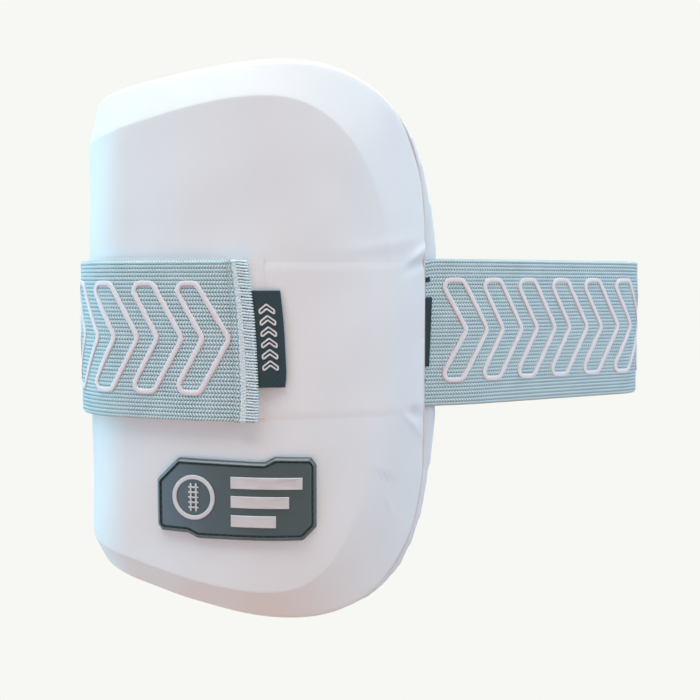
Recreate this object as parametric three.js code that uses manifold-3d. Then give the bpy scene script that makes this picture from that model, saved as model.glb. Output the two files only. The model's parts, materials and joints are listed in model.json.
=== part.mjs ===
// Cricket chest guard: a moulded foam pad, curved round one side of the chest, and one wide elastic strap.
// The strap is sewn into the pad's right edge, goes round the wearer's back, comes round the pad's left edge
// and closes on the front, where hook tape grips a band of loop fabric.
//
// Millimetres, +Z up. The origin is on the pad's back, behind the middle of its flat panel, where the chest
// sits. The flat panel faces -Y and the wearer is on the +Y side.

import * as THREE from 'three';
import Module from 'manifold-3d';

// Lengths are in millimetres and angles in degrees. "Along" is the distance on the pad's front face from its
// right edge towards its left edge, "z" is the height, and "lift" is the height above the pad's back face.
// A bearing is the direction that a face looks in plan: 0 looks along -Y and +90 looks along +X.

// The clearance between neighbouring pieces.
const GAP = 0.3;

// The front face in plan, from the right edge to the left edge, is four arcs.
const PAD_ARCS = [
  { name: 'right side', radius: 88, sweep: 70.7 },
  { name: 'flat panel', radius: 340, sweep: 10 },
  { name: 'left corner', radius: 38, sweep: 83 },
  { name: 'left flap', radius: 150, sweep: 9.5 },
];
const PAD_THICKNESS = 20;
const BACK_THICKNESS = 10;
const BEVEL_DROP = 6;

// The pad's rim. The edge is the seam all round, and the crease is where the bevel meets the raised field.
// "Fall" is how much lower the rim is at the left corner than at its crown above the right side.
const RIM = {
  top: { edge: 131, edgeFall: 14, cornerFrom: 50, crease: 113.8, creaseFall: 16, creaseRun: 66 },
  bottom: { edge: 129, edgeFall: 20, cornerFrom: 50, crease: 116.7, creaseFall: 20, creaseRun: 54 },
};
const EDGE_CROWN = 88;
const EDGE_CORNER_POWER = 2.15;
const CREASE_CROWN = 98;
const CREASE_CORNER_POWER = 2.5;
const CREASE_BLEND = 60;
const LEFT_CORNER_RUN = 26;
const LEFT_CORNER_RISE = 34;
const LEFT_BEVEL = 14;

// Where a section has no crease, its rows crowd over this share of its height.
const LEAST_FIELD = 0.62;

// The back cushion stands a little past the seam all round.
const BACK_OVERHANG = 1.2;
const BACK_ROUND = 7;
const BACK_LIP = 1.4;

// On the right the back cushion swells into a roll outside the seam. It tapers away towards the corners, and
// the strap's root flattens it. A row of the section is a point past the seam, from the roll's middle.
const ROLL = { top: 112, strapTop: 41, strapBottom: -35.8, bottom: -118, ease: 6, flattened: 0.42 };
const ROLL_MIDDLE = { past: 0.5, lift: 6 };
const ROLL_ROOT = [
  { past: 0.5, lift: 9.4 },
  { past: -3, lift: 9 },
  { past: -3, lift: 3.4 },
];
const ROLL_SECTION = [
  { past: 5, lift: -5.4 },
  { past: 10, lift: -4 },
  { past: 12.8, lift: -0.6 },
  { past: 12.4, lift: 3.4 },
  { past: 9, lift: 7 },
  { past: 4, lift: 8.6 },
  { past: 0.4, lift: 7 },
];
const ROLL_LEAST = 0.04;

// The loop-fabric band across the front.
const LOOP_PANEL = { from: 2.2, to: 208, low: -37.8, high: 40.4, thickness: 1.2 };

// The elastic strap, its folded hem, and the hook tape under its front end.
const STRAP_WIDTH = 74.5;
const STRAP_MIDDLE = 1.3;
const STRAP_THICKNESS = 1.6;
const STRAP_END = 101.2;
const STRAP_END_LEAN = 2.8;
const STRAP_LEAN_RUN = 40;
const HEM = { length: 8.5, extraThickness: 1, extraWidth: 0.6 };
const HOOK_TAPE = { overrun: 1.6, length: 92, low: -34.4, high: 39.8, thickness: 1 };

// The strap's way round the back. It turns round the left corner, lies along the flap, turns off it, bows
// round the back on one wide arc, turns again at its right end and runs straight to the seam. It climbs a
// little on the way.
const FLAP_RUN = 22;
const BACK_BOW_RADIUS = 250;
const RIGHT_TURN = { x: 171, y: 162.6, radius: 27.4 };
const RIGHT_RUN = { bearing: 47.9, length: 97 };
const ROOT_BEND = { radius: 80, bearing: 34 };
const ROOT_LENGTH = 15.4;
const STRAP_CLIMB = 1.6;

// The dark woven tabs: one to pull at the strap's end, one on the strap at the seam.
const PULL_TAB = { length: 13.4, low: -20, high: 24.6, thickness: 0.9, droop: 0.9 };
const ROOT_TAB = { from: 1, to: 4.6, low: -14, high: 21, thickness: 0.6 };

// The moulded badge: its upper and lower outlines from left to right, its rim and its raised marks.
const BADGE_UPPER = [
  { corner: 'left end', along: 150.6, z: -64.9 },
  { corner: 'chamfer end', along: 139.6, z: -54.2 },
  { corner: 'tab foot', along: 97.4, z: -55 },
  { corner: 'tab shoulder', along: 92.5, z: -52.4 },
  { corner: 'tab end', along: 76.4, z: -52.8 },
  { corner: 'right end', along: 74, z: -56.2 },
];
const BADGE_LOWER = [
  { corner: 'left end', along: 150.6, z: -86.5 },
  { corner: 'left foot', along: 148.4, z: -89.2 },
  { corner: 'step top', along: 135, z: -89.5 },
  { corner: 'step foot', along: 130, z: -91.7 },
  { corner: 'chamfer start', along: 80.2, z: -91.2 },
  { corner: 'right end', along: 74, z: -85 },
];
const BADGE = { base: 1.8, rimWidth: 2.4, rimHeight: 0.9, markHeight: 0.6, sink: 0.3 };
const BADGE_RING = { along: 131.5, z: -75, outer: 10.5, inner: 7.6, seam: 2 };
const BADGE_BARS = [
  { from: 113, to: 82, low: -66.5, high: -61.5 },
  { from: 113, to: 88, low: -75.5, high: -70.5 },
  { from: 113, to: 94, low: -84.5, high: -79.5 },
];

// How many steps each curved stretch is divided into.
const STEPS = {
  padCorner: 12,
  padCrown: 8,
  padBend: 12,
  padLeftCorner: 7,
  padBevel: 4,
  padField: 6,
  cushionField: 4,
  rollFree: 11,
  rollEase: 3,
  rollUnderStrap: 4,
  loopRows: 4,
  hookTape: 20,
  strapHem: 2,
  strapFront: 10,
  strapCorner: 16,
  strapLeftTurn: 6,
  strapBow: 16,
  strapRightTurn: 20,
  strapRootBend: 4,
  pullTab: 4,
  badgeRing: 12,
  badgeBar: 6,
};
const BADGE_STEP = 5;

// How many times a distance is halved in the search for an outline.
const HALVINGS = 40;

const COLOURS = {
  pad_front: { color: 0xe9eaec, roughness: 0.62 },
  pad_back: { color: 0xdfe2e6, roughness: 0.75 },
  loop_panel: { color: 0xe6e6ea, roughness: 0.9 },
  strap: { color: 0xa3bfcc, roughness: 0.85 },
  hook_tape: { color: 0xf0f1f2, roughness: 0.7 },
  pull_tab: { color: 0x4a595d, roughness: 0.85 },
  badge: { color: 0x5c6a6e, roughness: 0.55 },
  root_tab: { color: 0x465257, roughness: 0.85 },
};

const wasm = await Module();
wasm.setup();

const sine = (degrees) => Math.sin(THREE.MathUtils.degToRad(degrees));
const cosine = (degrees) => Math.cos(THREE.MathUtils.degToRad(degrees));
const arcLength = (radius, sweep) => radius * THREE.MathUtils.degToRad(sweep);
const smooth = (share) => THREE.MathUtils.smoothstep(share, 0, 1);

// A rounded corner: 1 where its share of the run is 0, falling to 0 where the share is 1.
function roundCorner(share, power) {
  const clamped = THREE.MathUtils.clamp(share, 0, 1);
  return (1 - clamped ** power) ** (1 / power);
}

// Plan lines

// A station is a point of a plan line with the bearing of its outward side.
function arcStation(centre, radius, bearing) {
  return {
    x: centre.x + radius * sine(bearing),
    y: centre.y - radius * cosine(bearing),
    bearing,
  };
}

// The point a given height outside a station's line.
function pointAt(station, outward, z) {
  const x = station.x + outward * sine(station.bearing);
  const y = station.y - outward * cosine(station.bearing);
  return new THREE.Vector3(x, y, z);
}

// Lays the arcs end to end: each gets its centre, its first bearing and the stretch that it covers. The
// middle of the flat panel faces -Y and lies in front of the origin.
function laidArcs() {
  const flat = PAD_ARCS[1];
  const firstBearing = PAD_ARCS[0].sweep + flat.sweep / 2;
  let end = { centre: { x: 0, y: 0 }, radius: PAD_ARCS[0].radius, bearing: firstBearing, along: 0 };
  const laid = PAD_ARCS.map(({ radius, sweep }) => {
    const { bearing, along: from } = end;
    const centre = arcStation(end.centre, end.radius - radius, bearing);
    end = { centre, radius, bearing: bearing - sweep, along: from + arcLength(radius, sweep) };
    return { centre, radius, bearing, from, to: end.along };
  });
  const flatCentre = { ...laid[1].centre };
  for (const { centre } of laid) {
    centre.x -= flatCentre.x;
    centre.y += flat.radius - PAD_THICKNESS - flatCentre.y;
  }
  return laid;
}

const LAID_ARCS = laidArcs();
const [, FLAT_PANEL, LEFT_CORNER, LEFT_FLAP] = LAID_ARCS;
const FLAT_TO = FLAT_PANEL.to;
const PAD_LENGTH = LEFT_FLAP.to;
const LEFT_CORNER_FROM = PAD_LENGTH - LEFT_CORNER_RUN;

// The station of the pad's front face at a distance along it.
function padStation(along) {
  const arc = LAID_ARCS.find(({ to }) => along < to) ?? LEFT_FLAP;
  const turned = THREE.MathUtils.radToDeg((along - arc.from) / arc.radius);
  return arcStation(arc.centre, arc.radius, arc.bearing - turned);
}

// A point of the pad at a distance along it, a height, and a lift above its back face.
function padPoint(along, z, lift) {
  return pointAt(padStation(along), lift - PAD_THICKNESS, z);
}

// Numbers from one end to the other in equal steps, both ends included.
function steps(from, to, count) {
  return Array.from({ length: count + 1 }, (_, i) => from + ((to - from) * i) / count);
}

// Numbers that crowd towards the first end, as a rounded corner needs.
function crowded(from, to, count) {
  return steps(0, 90, count).map((angle) => to + (from - to) * cosine(angle));
}

// Solids

// A closed solid through rings of points that all have the same number of points. A fan of triangles round
// its middle closes each end.
function loft(rings) {
  const count = rings[0].length;
  const points = rings.flat();
  const faces = [];
  for (let r = 0; r + 1 < rings.length; r += 1) {
    for (let i = 0; i < count; i += 1) {
      const [a, b] = [r * count + i, r * count + ((i + 1) % count)];
      faces.push([a, b, b + count], [a, b + count, a + count]);
    }
  }
  const last = points.length - count;
  const [firstMiddle, lastMiddle] = [points.length, points.length + 1];
  points.push(middleOf(rings[0]), middleOf(rings[rings.length - 1]));
  for (let i = 0; i < count; i += 1) {
    const next = (i + 1) % count;
    faces.push([firstMiddle, next, i], [lastMiddle, last + i, last + next]);
  }
  return solidFrom(points, faces);
}

function middleOf(ring) {
  const middle = new THREE.Vector3();
  ring.forEach((point) => middle.addScaledVector(point, 1 / ring.length));
  return middle;
}

// A geometry of points and triangles, with every face turned outwards.
function solidFrom(points, faces) {
  let volume = 0;
  for (const [a, b, c] of faces) {
    volume += points[a].dot(points[b].clone().cross(points[c]));
  }
  const outward = volume > 0 ? faces : faces.map(([a, b, c]) => [a, c, b]);
  const geometry = new THREE.BufferGeometry().setFromPoints(points);
  geometry.setIndex(outward.flat());
  geometry.computeVertexNormals();
  return geometry;
}

// A solid for cutting and joining.
function manifoldOf(geometry) {
  const vertProperties = new Float32Array(geometry.attributes.position.array);
  const triVerts = new Uint32Array(geometry.index.array);
  return new wasm.Manifold(new wasm.Mesh({ numProp: 3, vertProperties, triVerts }));
}

// The geometry of a solid that was cut or joined.
function geometryOf(solid) {
  const mesh = solid.getMesh();
  const geometry = new THREE.BufferGeometry();
  geometry.setAttribute('position', new THREE.BufferAttribute(mesh.vertProperties, 3));
  geometry.setIndex(new THREE.BufferAttribute(mesh.triVerts, 1));
  geometry.computeVertexNormals();
  return geometry;
}

// The pad's rim

// How high the seam is above (top) or below (bottom) the middle of the pad.
function edgeHeight(side, along) {
  if (along < EDGE_CROWN) {
    const share = (EDGE_CROWN - along) / EDGE_CROWN;
    return side.cornerFrom + (side.edge - side.cornerFrom) * roundCorner(share, EDGE_CORNER_POWER);
  }
  const fall = side.edgeFall * smooth((along - EDGE_CROWN) / (LEFT_CORNER_FROM - EDGE_CROWN));
  const share = (along - LEFT_CORNER_FROM) / LEFT_CORNER_RUN;
  return side.edge - fall - LEFT_CORNER_RISE * (1 - roundCorner(share, 2));
}

// How high the crease is at a distance along the pad, or 0 beyond its ends.
function creaseHeight(side, along) {
  if (along < CREASE_CROWN) {
    return side.crease * roundCorner((CREASE_CROWN - along) / side.creaseRun, CREASE_CORNER_POWER);
  }
  const left = PAD_LENGTH - LEFT_BEVEL;
  if (along > left) {
    return 0;
  }
  const fall = side.creaseFall * smooth((along - CREASE_CROWN) / (LEFT_CORNER_FROM - CREASE_CROWN));
  const share = (along - LEFT_CORNER_FROM) / (left - LEFT_CORNER_FROM);
  return side.crease - fall - LEFT_CORNER_RISE * (1 - roundCorner(share, 2));
}

// The crease's right end lies further right above the middle than below it, with a smooth change between.
function creaseSide(z) {
  const share = smooth((z + CREASE_BLEND) / (2 * CREASE_BLEND));
  const own = z > 0 ? RIM.top : RIM.bottom;
  const creaseRun = THREE.MathUtils.lerp(RIM.bottom.creaseRun, RIM.top.creaseRun, share);
  return { ...own, creaseRun };
}

function insideEdge(along, z) {
  const side = z > 0 ? RIM.top : RIM.bottom;
  return along > 0 && along < PAD_LENGTH && Math.abs(z) < edgeHeight(side, along);
}

function insideCrease(along, z) {
  return Math.abs(z) < creaseHeight(creaseSide(z), along);
}

// How far it is from the pad's crown line to an outline in one direction, by halving.
function reachOf(inside, towards) {
  let near = 0;
  let far = 2 * PAD_LENGTH;
  for (let i = 0; i < HALVINGS; i += 1) {
    const middle = (near + far) / 2;
    const isInside = inside(CREASE_CROWN + middle * towards.x, middle * towards.y);
    near = isInside ? middle : near;
    far = isInside ? far : middle;
  }
  return near;
}

// Where a point lies on the pad: its distance in from the seam, and its share of the way from crease to seam.
function rimPlace(along, z) {
  const towards = new THREE.Vector2(along - CREASE_CROWN, z);
  const distance = towards.length();
  if (distance === 0) {
    return { inset: EDGE_CROWN, bevel: 0, sideways: 0 };
  }
  towards.normalize();
  const edge = reachOf(insideEdge, towards);
  const crease = reachOf(insideCrease, towards);
  const bevel = THREE.MathUtils.clamp((distance - crease) / (edge - crease), 0, 1);
  return { inset: Math.max(0, edge - distance), bevel, sideways: Math.max(0, -towards.x) };
}

// The front face's lift: full on the raised field, falling to the seam over the bevel. The bevel has a crisp
// crease above, below and on the left, and rolls over softly on the right.
function frontLift(along, z) {
  const { bevel, sideways } = rimPlace(along, z);
  const share = THREE.MathUtils.lerp(bevel, smooth(bevel), sideways);
  return PAD_THICKNESS - BEVEL_DROP * share;
}

// Distances along the pad at which its sections are taken.
const PAD_SECTIONS = [
  ...crowded(0, EDGE_CROWN, STEPS.padCorner),
  ...steps(EDGE_CROWN, FLAT_TO, STEPS.padCrown).slice(1),
  ...steps(FLAT_TO, LEFT_CORNER_FROM, STEPS.padBend).slice(1),
  ...crowded(PAD_LENGTH, LEFT_CORNER_FROM, STEPS.padLeftCorner).reverse().slice(1),
];

// The pieces

// The heights of a pad section's points: fine over the two bevels, coarse over the field.
function padRows(along) {
  const top = edgeHeight(RIM.top, along);
  const bottom = -edgeHeight(RIM.bottom, along);
  const fieldTop = Math.max(creaseHeight(RIM.top, along), LEAST_FIELD * top);
  const fieldBottom = Math.min(-creaseHeight(RIM.bottom, along), LEAST_FIELD * bottom);
  return [
    ...steps(bottom, fieldBottom, STEPS.padBevel),
    ...steps(fieldBottom, fieldTop, STEPS.padField).slice(1, -1),
    ...steps(fieldTop, top, STEPS.padBevel),
  ];
}

function padFront() {
  const rings = PAD_SECTIONS.map((along) => {
    const rows = padRows(along);
    const front = rows.map((z) => padPoint(along, z, frontLift(along, z)));
    const seam = [rows[rows.length - 1], rows[0]];
    const back = seam.map((z) => padPoint(along, z, BACK_THICKNESS + GAP));
    return [...front, ...back];
  });
  return loft(rings);
}

// The seam's distance along the pad at a height on the right side.
function rightEdge(z) {
  const side = z > 0 ? RIM.top : RIM.bottom;
  const share = (Math.abs(z) - side.cornerFrom) / (side.edge - side.cornerFrom);
  return EDGE_CROWN * (1 - roundCorner(Math.max(0, share), EDGE_CORNER_POWER));
}

// The roll's size at a height: full just clear of the strap, less under it and towards the corners.
function rollSize(z) {
  const above = (z - ROLL.strapTop) / (ROLL.top - ROLL.strapTop);
  const below = (z - ROLL.strapBottom) / (ROLL.bottom - ROLL.strapBottom);
  const taper = roundCorner(Math.max(above, below, 0), 2);
  const clear = smooth(Math.max(z - ROLL.strapTop, ROLL.strapBottom - z) / ROLL.ease);
  return Math.max(ROLL_LEAST, taper * THREE.MathUtils.lerp(ROLL.flattened, 1, clear));
}

function backRoll() {
  const heights = [
    ...steps(ROLL.bottom, ROLL.strapBottom - ROLL.ease, STEPS.rollFree),
    ...steps(ROLL.strapBottom - ROLL.ease, ROLL.strapBottom, STEPS.rollEase).slice(1),
    ...steps(ROLL.strapBottom, ROLL.strapTop, STEPS.rollUnderStrap).slice(1),
    ...steps(ROLL.strapTop, ROLL.strapTop + ROLL.ease, STEPS.rollEase).slice(1),
    ...steps(ROLL.strapTop + ROLL.ease, ROLL.top, STEPS.rollFree).slice(1),
  ];
  const rings = heights.map((z) => {
    const size = rollSize(z);
    const slope = rightEdge(z + 1) - rightEdge(z - 1);
    const outward = new THREE.Vector2(-2, slope).normalize();
    const swollen = ROLL_SECTION.map((row) => ({
      past: ROLL_MIDDLE.past + size * row.past,
      lift: ROLL_MIDDLE.lift + size * row.lift,
    }));
    return [...ROLL_ROOT, ...swollen].map(({ past, lift }) => {
      return padPoint(rightEdge(z) + past * outward.x, z + past * outward.y, lift);
    });
  });
  return manifoldOf(loft(rings));
}

// The back cushion: flat under the front shell, rounded towards the chest, with a thin lip at the seam.
function padBack() {
  const spread = 1 + BACK_OVERHANG / edgeHeight(RIM.top, EDGE_CROWN);
  const inner = [BACK_ROUND, BACK_ROUND / 2, BACK_ROUND / 6];
  const rings = PAD_SECTIONS.map((along) => {
    const top = edgeHeight(RIM.top, along);
    const bottom = -edgeHeight(RIM.bottom, along);
    const rows = [
      bottom,
      ...inner.toReversed().map((inset) => bottom + inset),
      ...steps(bottom + 2 * BACK_ROUND, top - 2 * BACK_ROUND, STEPS.cushionField),
      ...inner.map((inset) => top - inset),
      top,
    ];
    const outerPoint = (z, lift) => padPoint(along, z * spread, lift);
    const seamSide = rows.map((z) => {
      const { inset } = rimPlace(along, z);
      const lip = Math.max(0, 1 - inset / BACK_LIP);
      return outerPoint(z, BACK_THICKNESS - BACK_LIP * lip * lip);
    });
    const chestSide = rows.map((z) => {
      const { inset } = rimPlace(along, z);
      const share = Math.max(0, 1 - inset / BACK_ROUND);
      return outerPoint(z, BACK_ROUND * (1 - roundCorner(share, 2)));
    });
    return [...seamSide, ...chestSide.toReversed()];
  });
  const cushion = manifoldOf(loft(rings));
  return geometryOf(cushion.add(backRoll()));
}

function loopPanel() {
  const sections = [
    LOOP_PANEL.from,
    ...PAD_SECTIONS.filter((along) => along > LOOP_PANEL.from + 1 && along < LOOP_PANEL.to - 1),
    LOOP_PANEL.to,
  ];
  const rows = steps(LOOP_PANEL.low, LOOP_PANEL.high, STEPS.loopRows);
  const rings = sections.map((along) => {
    const under = rows.map((z) => padPoint(along, z, frontLift(along, z) + GAP));
    const over = rows.map((z) => padPoint(along, z, frontLift(along, z) + GAP + LOOP_PANEL.thickness));
    return [...over, ...under.toReversed()];
  });
  return loft(rings);
}

const HOOK_LIFT = PAD_THICKNESS + GAP + LOOP_PANEL.thickness + GAP;
const STRAP_LIFT = HOOK_LIFT + HOOK_TAPE.thickness + GAP;

// The strap's end leans a little, so a place near it lies further along the higher it is.
function leanedAlong(along, z) {
  const fade = Math.max(0, 1 - (along - STRAP_END) / STRAP_LEAN_RUN);
  return along + z * Math.tan(THREE.MathUtils.degToRad(STRAP_END_LEAN)) * Math.min(1, fade);
}

// Four corners of a flat band's section: its two edges on its outer and its inner face.
function bandRing(pointOf, low, high, inner, outer) {
  return [pointOf(low, outer), pointOf(high, outer), pointOf(high, inner), pointOf(low, inner)];
}

// The hook tape is square to the pad, so its corner shows past the strap's leaning end.
function hookTape() {
  const from = STRAP_END - HOOK_TAPE.overrun;
  const rings = steps(from, from + HOOK_TAPE.length, STEPS.hookTape).map((along) => {
    const pointOf = (z, lift) => padPoint(along, z, lift);
    return bandRing(pointOf, HOOK_TAPE.low, HOOK_TAPE.high, HOOK_LIFT, HOOK_LIFT + HOOK_TAPE.thickness);
  });
  return loft(rings);
}

// The centre of the circle that touches two given circles from outside and holds both.
function bowCentre(first, firstRadius, second, secondRadius) {
  const from = new THREE.Vector2(first.x, first.y);
  const apart = new THREE.Vector2(second.x, second.y).sub(from);
  const gap = apart.length();
  const toFirst = BACK_BOW_RADIUS - firstRadius;
  const toSecond = BACK_BOW_RADIUS - secondRadius;
  const foot = (toFirst ** 2 - toSecond ** 2 + gap ** 2) / (2 * gap);
  const height = Math.sqrt(toFirst ** 2 - foot ** 2);
  const unit = apart.divideScalar(gap);
  return {
    x: first.x + unit.x * foot + unit.y * height,
    y: first.y + unit.y * foot - unit.x * height,
  };
}

// The bearing in which one point is seen from another.
function bearingOf(from, to) {
  return THREE.MathUtils.radToDeg(Math.atan2(to.x - from.x, from.y - to.y));
}

// Stations along an arc, from one bearing to another.
function arcStations(centre, radius, from, to, count) {
  return steps(from, to, count).map((bearing) => arcStation(centre, radius, bearing));
}

// The strap's inner face in plan once it leaves the flat panel: arcs and straight runs, then the root.
function strapWay() {
  const cornerRadius = LEFT_CORNER.radius + STRAP_LIFT - PAD_THICKNESS;
  const leftTurn = advanced({ ...LEFT_CORNER.centre, bearing: LEFT_FLAP.bearing }, FLAP_RUN);
  const bow = bowCentre(leftTurn, cornerRadius, RIGHT_TURN, RIGHT_TURN.radius);
  const bowFrom = bearingOf(bow, leftTurn);
  const bowTo = bearingOf(bow, RIGHT_TURN) - 360;
  const runBearing = RIGHT_RUN.bearing - 360;
  const rootBearing = ROOT_BEND.bearing - 360;
  const [cornerFrom, cornerTo] = [LEFT_CORNER.bearing, LEFT_FLAP.bearing];
  const turnEnd = arcStation(RIGHT_TURN, RIGHT_TURN.radius, runBearing);
  const runEnd = advanced(turnEnd, RIGHT_RUN.length);
  const bendCentre = pointAt(runEnd, -ROOT_BEND.radius, 0);
  const bendEnd = arcStation(bendCentre, ROOT_BEND.radius, rootBearing);
  return [
    ...arcStations(LEFT_CORNER.centre, cornerRadius, cornerFrom, cornerTo, STEPS.strapCorner),
    ...arcStations(leftTurn, cornerRadius, cornerTo, bowFrom, STEPS.strapLeftTurn),
    ...arcStations(bow, BACK_BOW_RADIUS, bowFrom, bowTo, STEPS.strapBow).slice(1),
    ...arcStations(RIGHT_TURN, RIGHT_TURN.radius, bowTo, runBearing, STEPS.strapRightTurn).slice(1),
    ...arcStations(bendCentre, ROOT_BEND.radius, runBearing, rootBearing, STEPS.strapRootBend),
    advanced(bendEnd, ROOT_LENGTH),
  ];
}

// The station a distance straight on from another, in the direction in which the strap runs to its root.
function advanced(station, distance) {
  return {
    x: station.x - distance * cosine(station.bearing),
    y: station.y - distance * sine(station.bearing),
    bearing: station.bearing,
  };
}

const STRAP_WAY = strapWay();

function strap() {
  const half = STRAP_WIDTH / 2;
  const hemHalf = half + HEM.extraWidth / 2;
  const hemOuter = STRAP_LIFT + STRAP_THICKNESS + HEM.extraThickness;
  const hemEnd = STRAP_END + HEM.length;
  const onFront = (along) => (z, lift) => padPoint(leanedAlong(along, z), STRAP_MIDDLE + z, lift);
  const rings = [
    ...steps(STRAP_END, hemEnd, STEPS.strapHem).map((along) => {
      return bandRing(onFront(along), -hemHalf, hemHalf, STRAP_LIFT, hemOuter);
    }),
    ...steps(hemEnd + GAP, FLAT_TO, STEPS.strapFront).slice(0, -1).map((along) => {
      return bandRing(onFront(along), -half, half, STRAP_LIFT, STRAP_LIFT + STRAP_THICKNESS);
    }),
    ...STRAP_WAY.map((station, i) => {
      const middle = STRAP_MIDDLE + STRAP_CLIMB * smooth(i / (STRAP_WAY.length - 1));
      const pointOf = (z, outward) => pointAt(station, outward, middle + z);
      return bandRing(pointOf, -half, half, 0, STRAP_THICKNESS);
    }),
  ];
  return loft(rings);
}

// The pull tab butts on the hem and droops towards its free end.
function pullTab() {
  const rings = steps(STRAP_END - GAP, STRAP_END - PULL_TAB.length, STEPS.pullTab).map((along, i, all) => {
    const lift = STRAP_LIFT + GAP - (PULL_TAB.droop * i) / (all.length - 1);
    const pointOf = (z, height) => padPoint(leanedAlong(along, z), z, height);
    return bandRing(pointOf, PULL_TAB.low, PULL_TAB.high, lift, lift + PULL_TAB.thickness);
  });
  return loft(rings);
}

// The root tab lies on the strap's outer face, beside the seam.
function rootTab() {
  const root = STRAP_WAY[STRAP_WAY.length - 1];
  const inner = STRAP_THICKNESS + GAP;
  const rings = [ROOT_TAB.from, ROOT_TAB.to].map((distance) => {
    const station = advanced(root, -distance);
    const pointOf = (z, outward) => pointAt(station, outward, z);
    return bandRing(pointOf, ROOT_TAB.low, ROOT_TAB.high, inner, inner + ROOT_TAB.thickness);
  });
  return loft(rings);
}

// The height of one of the badge's outlines at a distance along the pad.
function outlineHeight(outline, along) {
  const next = outline.findIndex((row) => row.along <= along);
  if (next === 0) {
    return outline[0].z;
  }
  if (next < 0) {
    return outline[outline.length - 1].z;
  }
  const [left, right] = [outline[next - 1], outline[next]];
  const share = (left.along - along) / (left.along - right.along);
  return THREE.MathUtils.lerp(left.z, right.z, share);
}

// A plate of the badge's outline, drawn in by an inset, between two lifts.
function badgePlate(inset, from, to) {
  const left = BADGE_UPPER[0].along - inset;
  const right = BADGE_UPPER[BADGE_UPPER.length - 1].along + inset;
  const corners = [...BADGE_UPPER, ...BADGE_LOWER].map((row) => row.along);
  const even = steps(left, right, Math.ceil((left - right) / BADGE_STEP));
  const kept = [...corners, ...even].filter((along) => along <= left && along >= right);
  const sections = [...new Set([left, right, ...kept])].sort((a, b) => b - a);
  const rings = sections.map((along) => {
    const low = outlineHeight(BADGE_LOWER, along) + inset;
    const high = outlineHeight(BADGE_UPPER, along) - inset;
    return bandRing((z, lift) => padPoint(along, z, lift), low, high, from, to);
  });
  return manifoldOf(loft(rings));
}

// A raised ring with a seam across it, as a ball has, and three bars beside it.
function badgeMarks(from, to) {
  const circle = (radius) => {
    const rings = steps(180, 0, STEPS.badgeRing).slice(1, -1).map((angle) => {
      const along = BADGE_RING.along - radius * cosine(angle);
      const half = radius * sine(angle);
      const pointOf = (z, lift) => padPoint(along, BADGE_RING.z + z, lift);
      return bandRing(pointOf, -half, half, from, to);
    });
    return manifoldOf(loft(rings));
  };
  const bar = ({ from: left, to: right, low, high }) => {
    const rings = steps(left, right, STEPS.badgeBar).map((along) => {
      return bandRing((z, lift) => padPoint(along, z, lift), low, high, from, to);
    });
    return manifoldOf(loft(rings));
  };
  const { along, z, inner, outer, seam } = BADGE_RING;
  const middle = (inner + outer) / 2;
  const ends = { from: along + seam / 2, to: along - seam / 2 };
  const seamBar = bar({ ...ends, low: z - middle, high: z + middle });
  return [circle(outer).subtract(circle(inner)), seamBar, ...BADGE_BARS.map(bar)];
}

function badge() {
  const foot = PAD_THICKNESS + GAP;
  const face = foot + BADGE.base;
  const rim = face + BADGE.rimHeight;
  const plate = badgePlate(0, foot, rim);
  const hollow = badgePlate(BADGE.rimWidth, face, rim + BADGE.rimHeight);
  const marks = badgeMarks(face - BADGE.sink, face + BADGE.markHeight);
  return geometryOf(marks.reduce((solid, mark) => solid.add(mark), plate.subtract(hollow)));
}

const PIECES = {
  pad_front: padFront,
  pad_back: padBack,
  loop_panel: loopPanel,
  strap,
  hook_tape: hookTape,
  pull_tab: pullTab,
  badge,
  root_tab: rootTab,
};

const chestGuard = new THREE.Group();
for (const [name, make] of Object.entries(PIECES)) {
  const { color, roughness } = COLOURS[name];
  const material = new THREE.MeshStandardMaterial({ color, roughness, metalness: 0 });
  const mesh = new THREE.Mesh(make(), material);
  mesh.name = name;
  chestGuard.add(mesh);
}

export default chestGuard;
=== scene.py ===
# %% [markdown]
# # A cricket chest guard
# The guard is a white moulded-foam pad with one wide elastic strap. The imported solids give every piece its
# place and size. This lesson dresses them: it makes the sewn and moulded surfaces as meshes, gives each a
# finish, and lights them as a product on a pale ground.

# %% Load the frame
import json
import math

import bpy
import numpy as np
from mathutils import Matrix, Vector

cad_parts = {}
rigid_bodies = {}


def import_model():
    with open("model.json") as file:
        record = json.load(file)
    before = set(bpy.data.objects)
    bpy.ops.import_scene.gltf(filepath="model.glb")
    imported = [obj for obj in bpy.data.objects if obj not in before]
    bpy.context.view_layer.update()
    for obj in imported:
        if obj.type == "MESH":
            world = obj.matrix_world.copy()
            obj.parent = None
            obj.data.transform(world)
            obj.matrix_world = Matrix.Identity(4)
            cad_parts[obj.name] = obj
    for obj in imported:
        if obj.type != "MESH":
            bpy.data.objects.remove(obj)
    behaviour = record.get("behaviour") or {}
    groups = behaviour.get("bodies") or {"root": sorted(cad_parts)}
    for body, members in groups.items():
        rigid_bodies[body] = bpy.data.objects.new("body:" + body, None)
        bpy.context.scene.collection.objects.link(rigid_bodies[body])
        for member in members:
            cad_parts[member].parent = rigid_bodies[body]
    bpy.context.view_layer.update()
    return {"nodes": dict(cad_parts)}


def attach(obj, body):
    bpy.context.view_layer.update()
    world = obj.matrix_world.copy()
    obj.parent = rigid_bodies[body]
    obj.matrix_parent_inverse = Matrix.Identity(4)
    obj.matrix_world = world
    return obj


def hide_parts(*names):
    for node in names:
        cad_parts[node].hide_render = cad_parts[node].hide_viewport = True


for leftover in list(bpy.data.objects):
    bpy.data.objects.remove(leftover)
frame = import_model()
SCENE = bpy.context.scene
MM = 0.001
print("solids:", sorted(frame["nodes"]))

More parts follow.
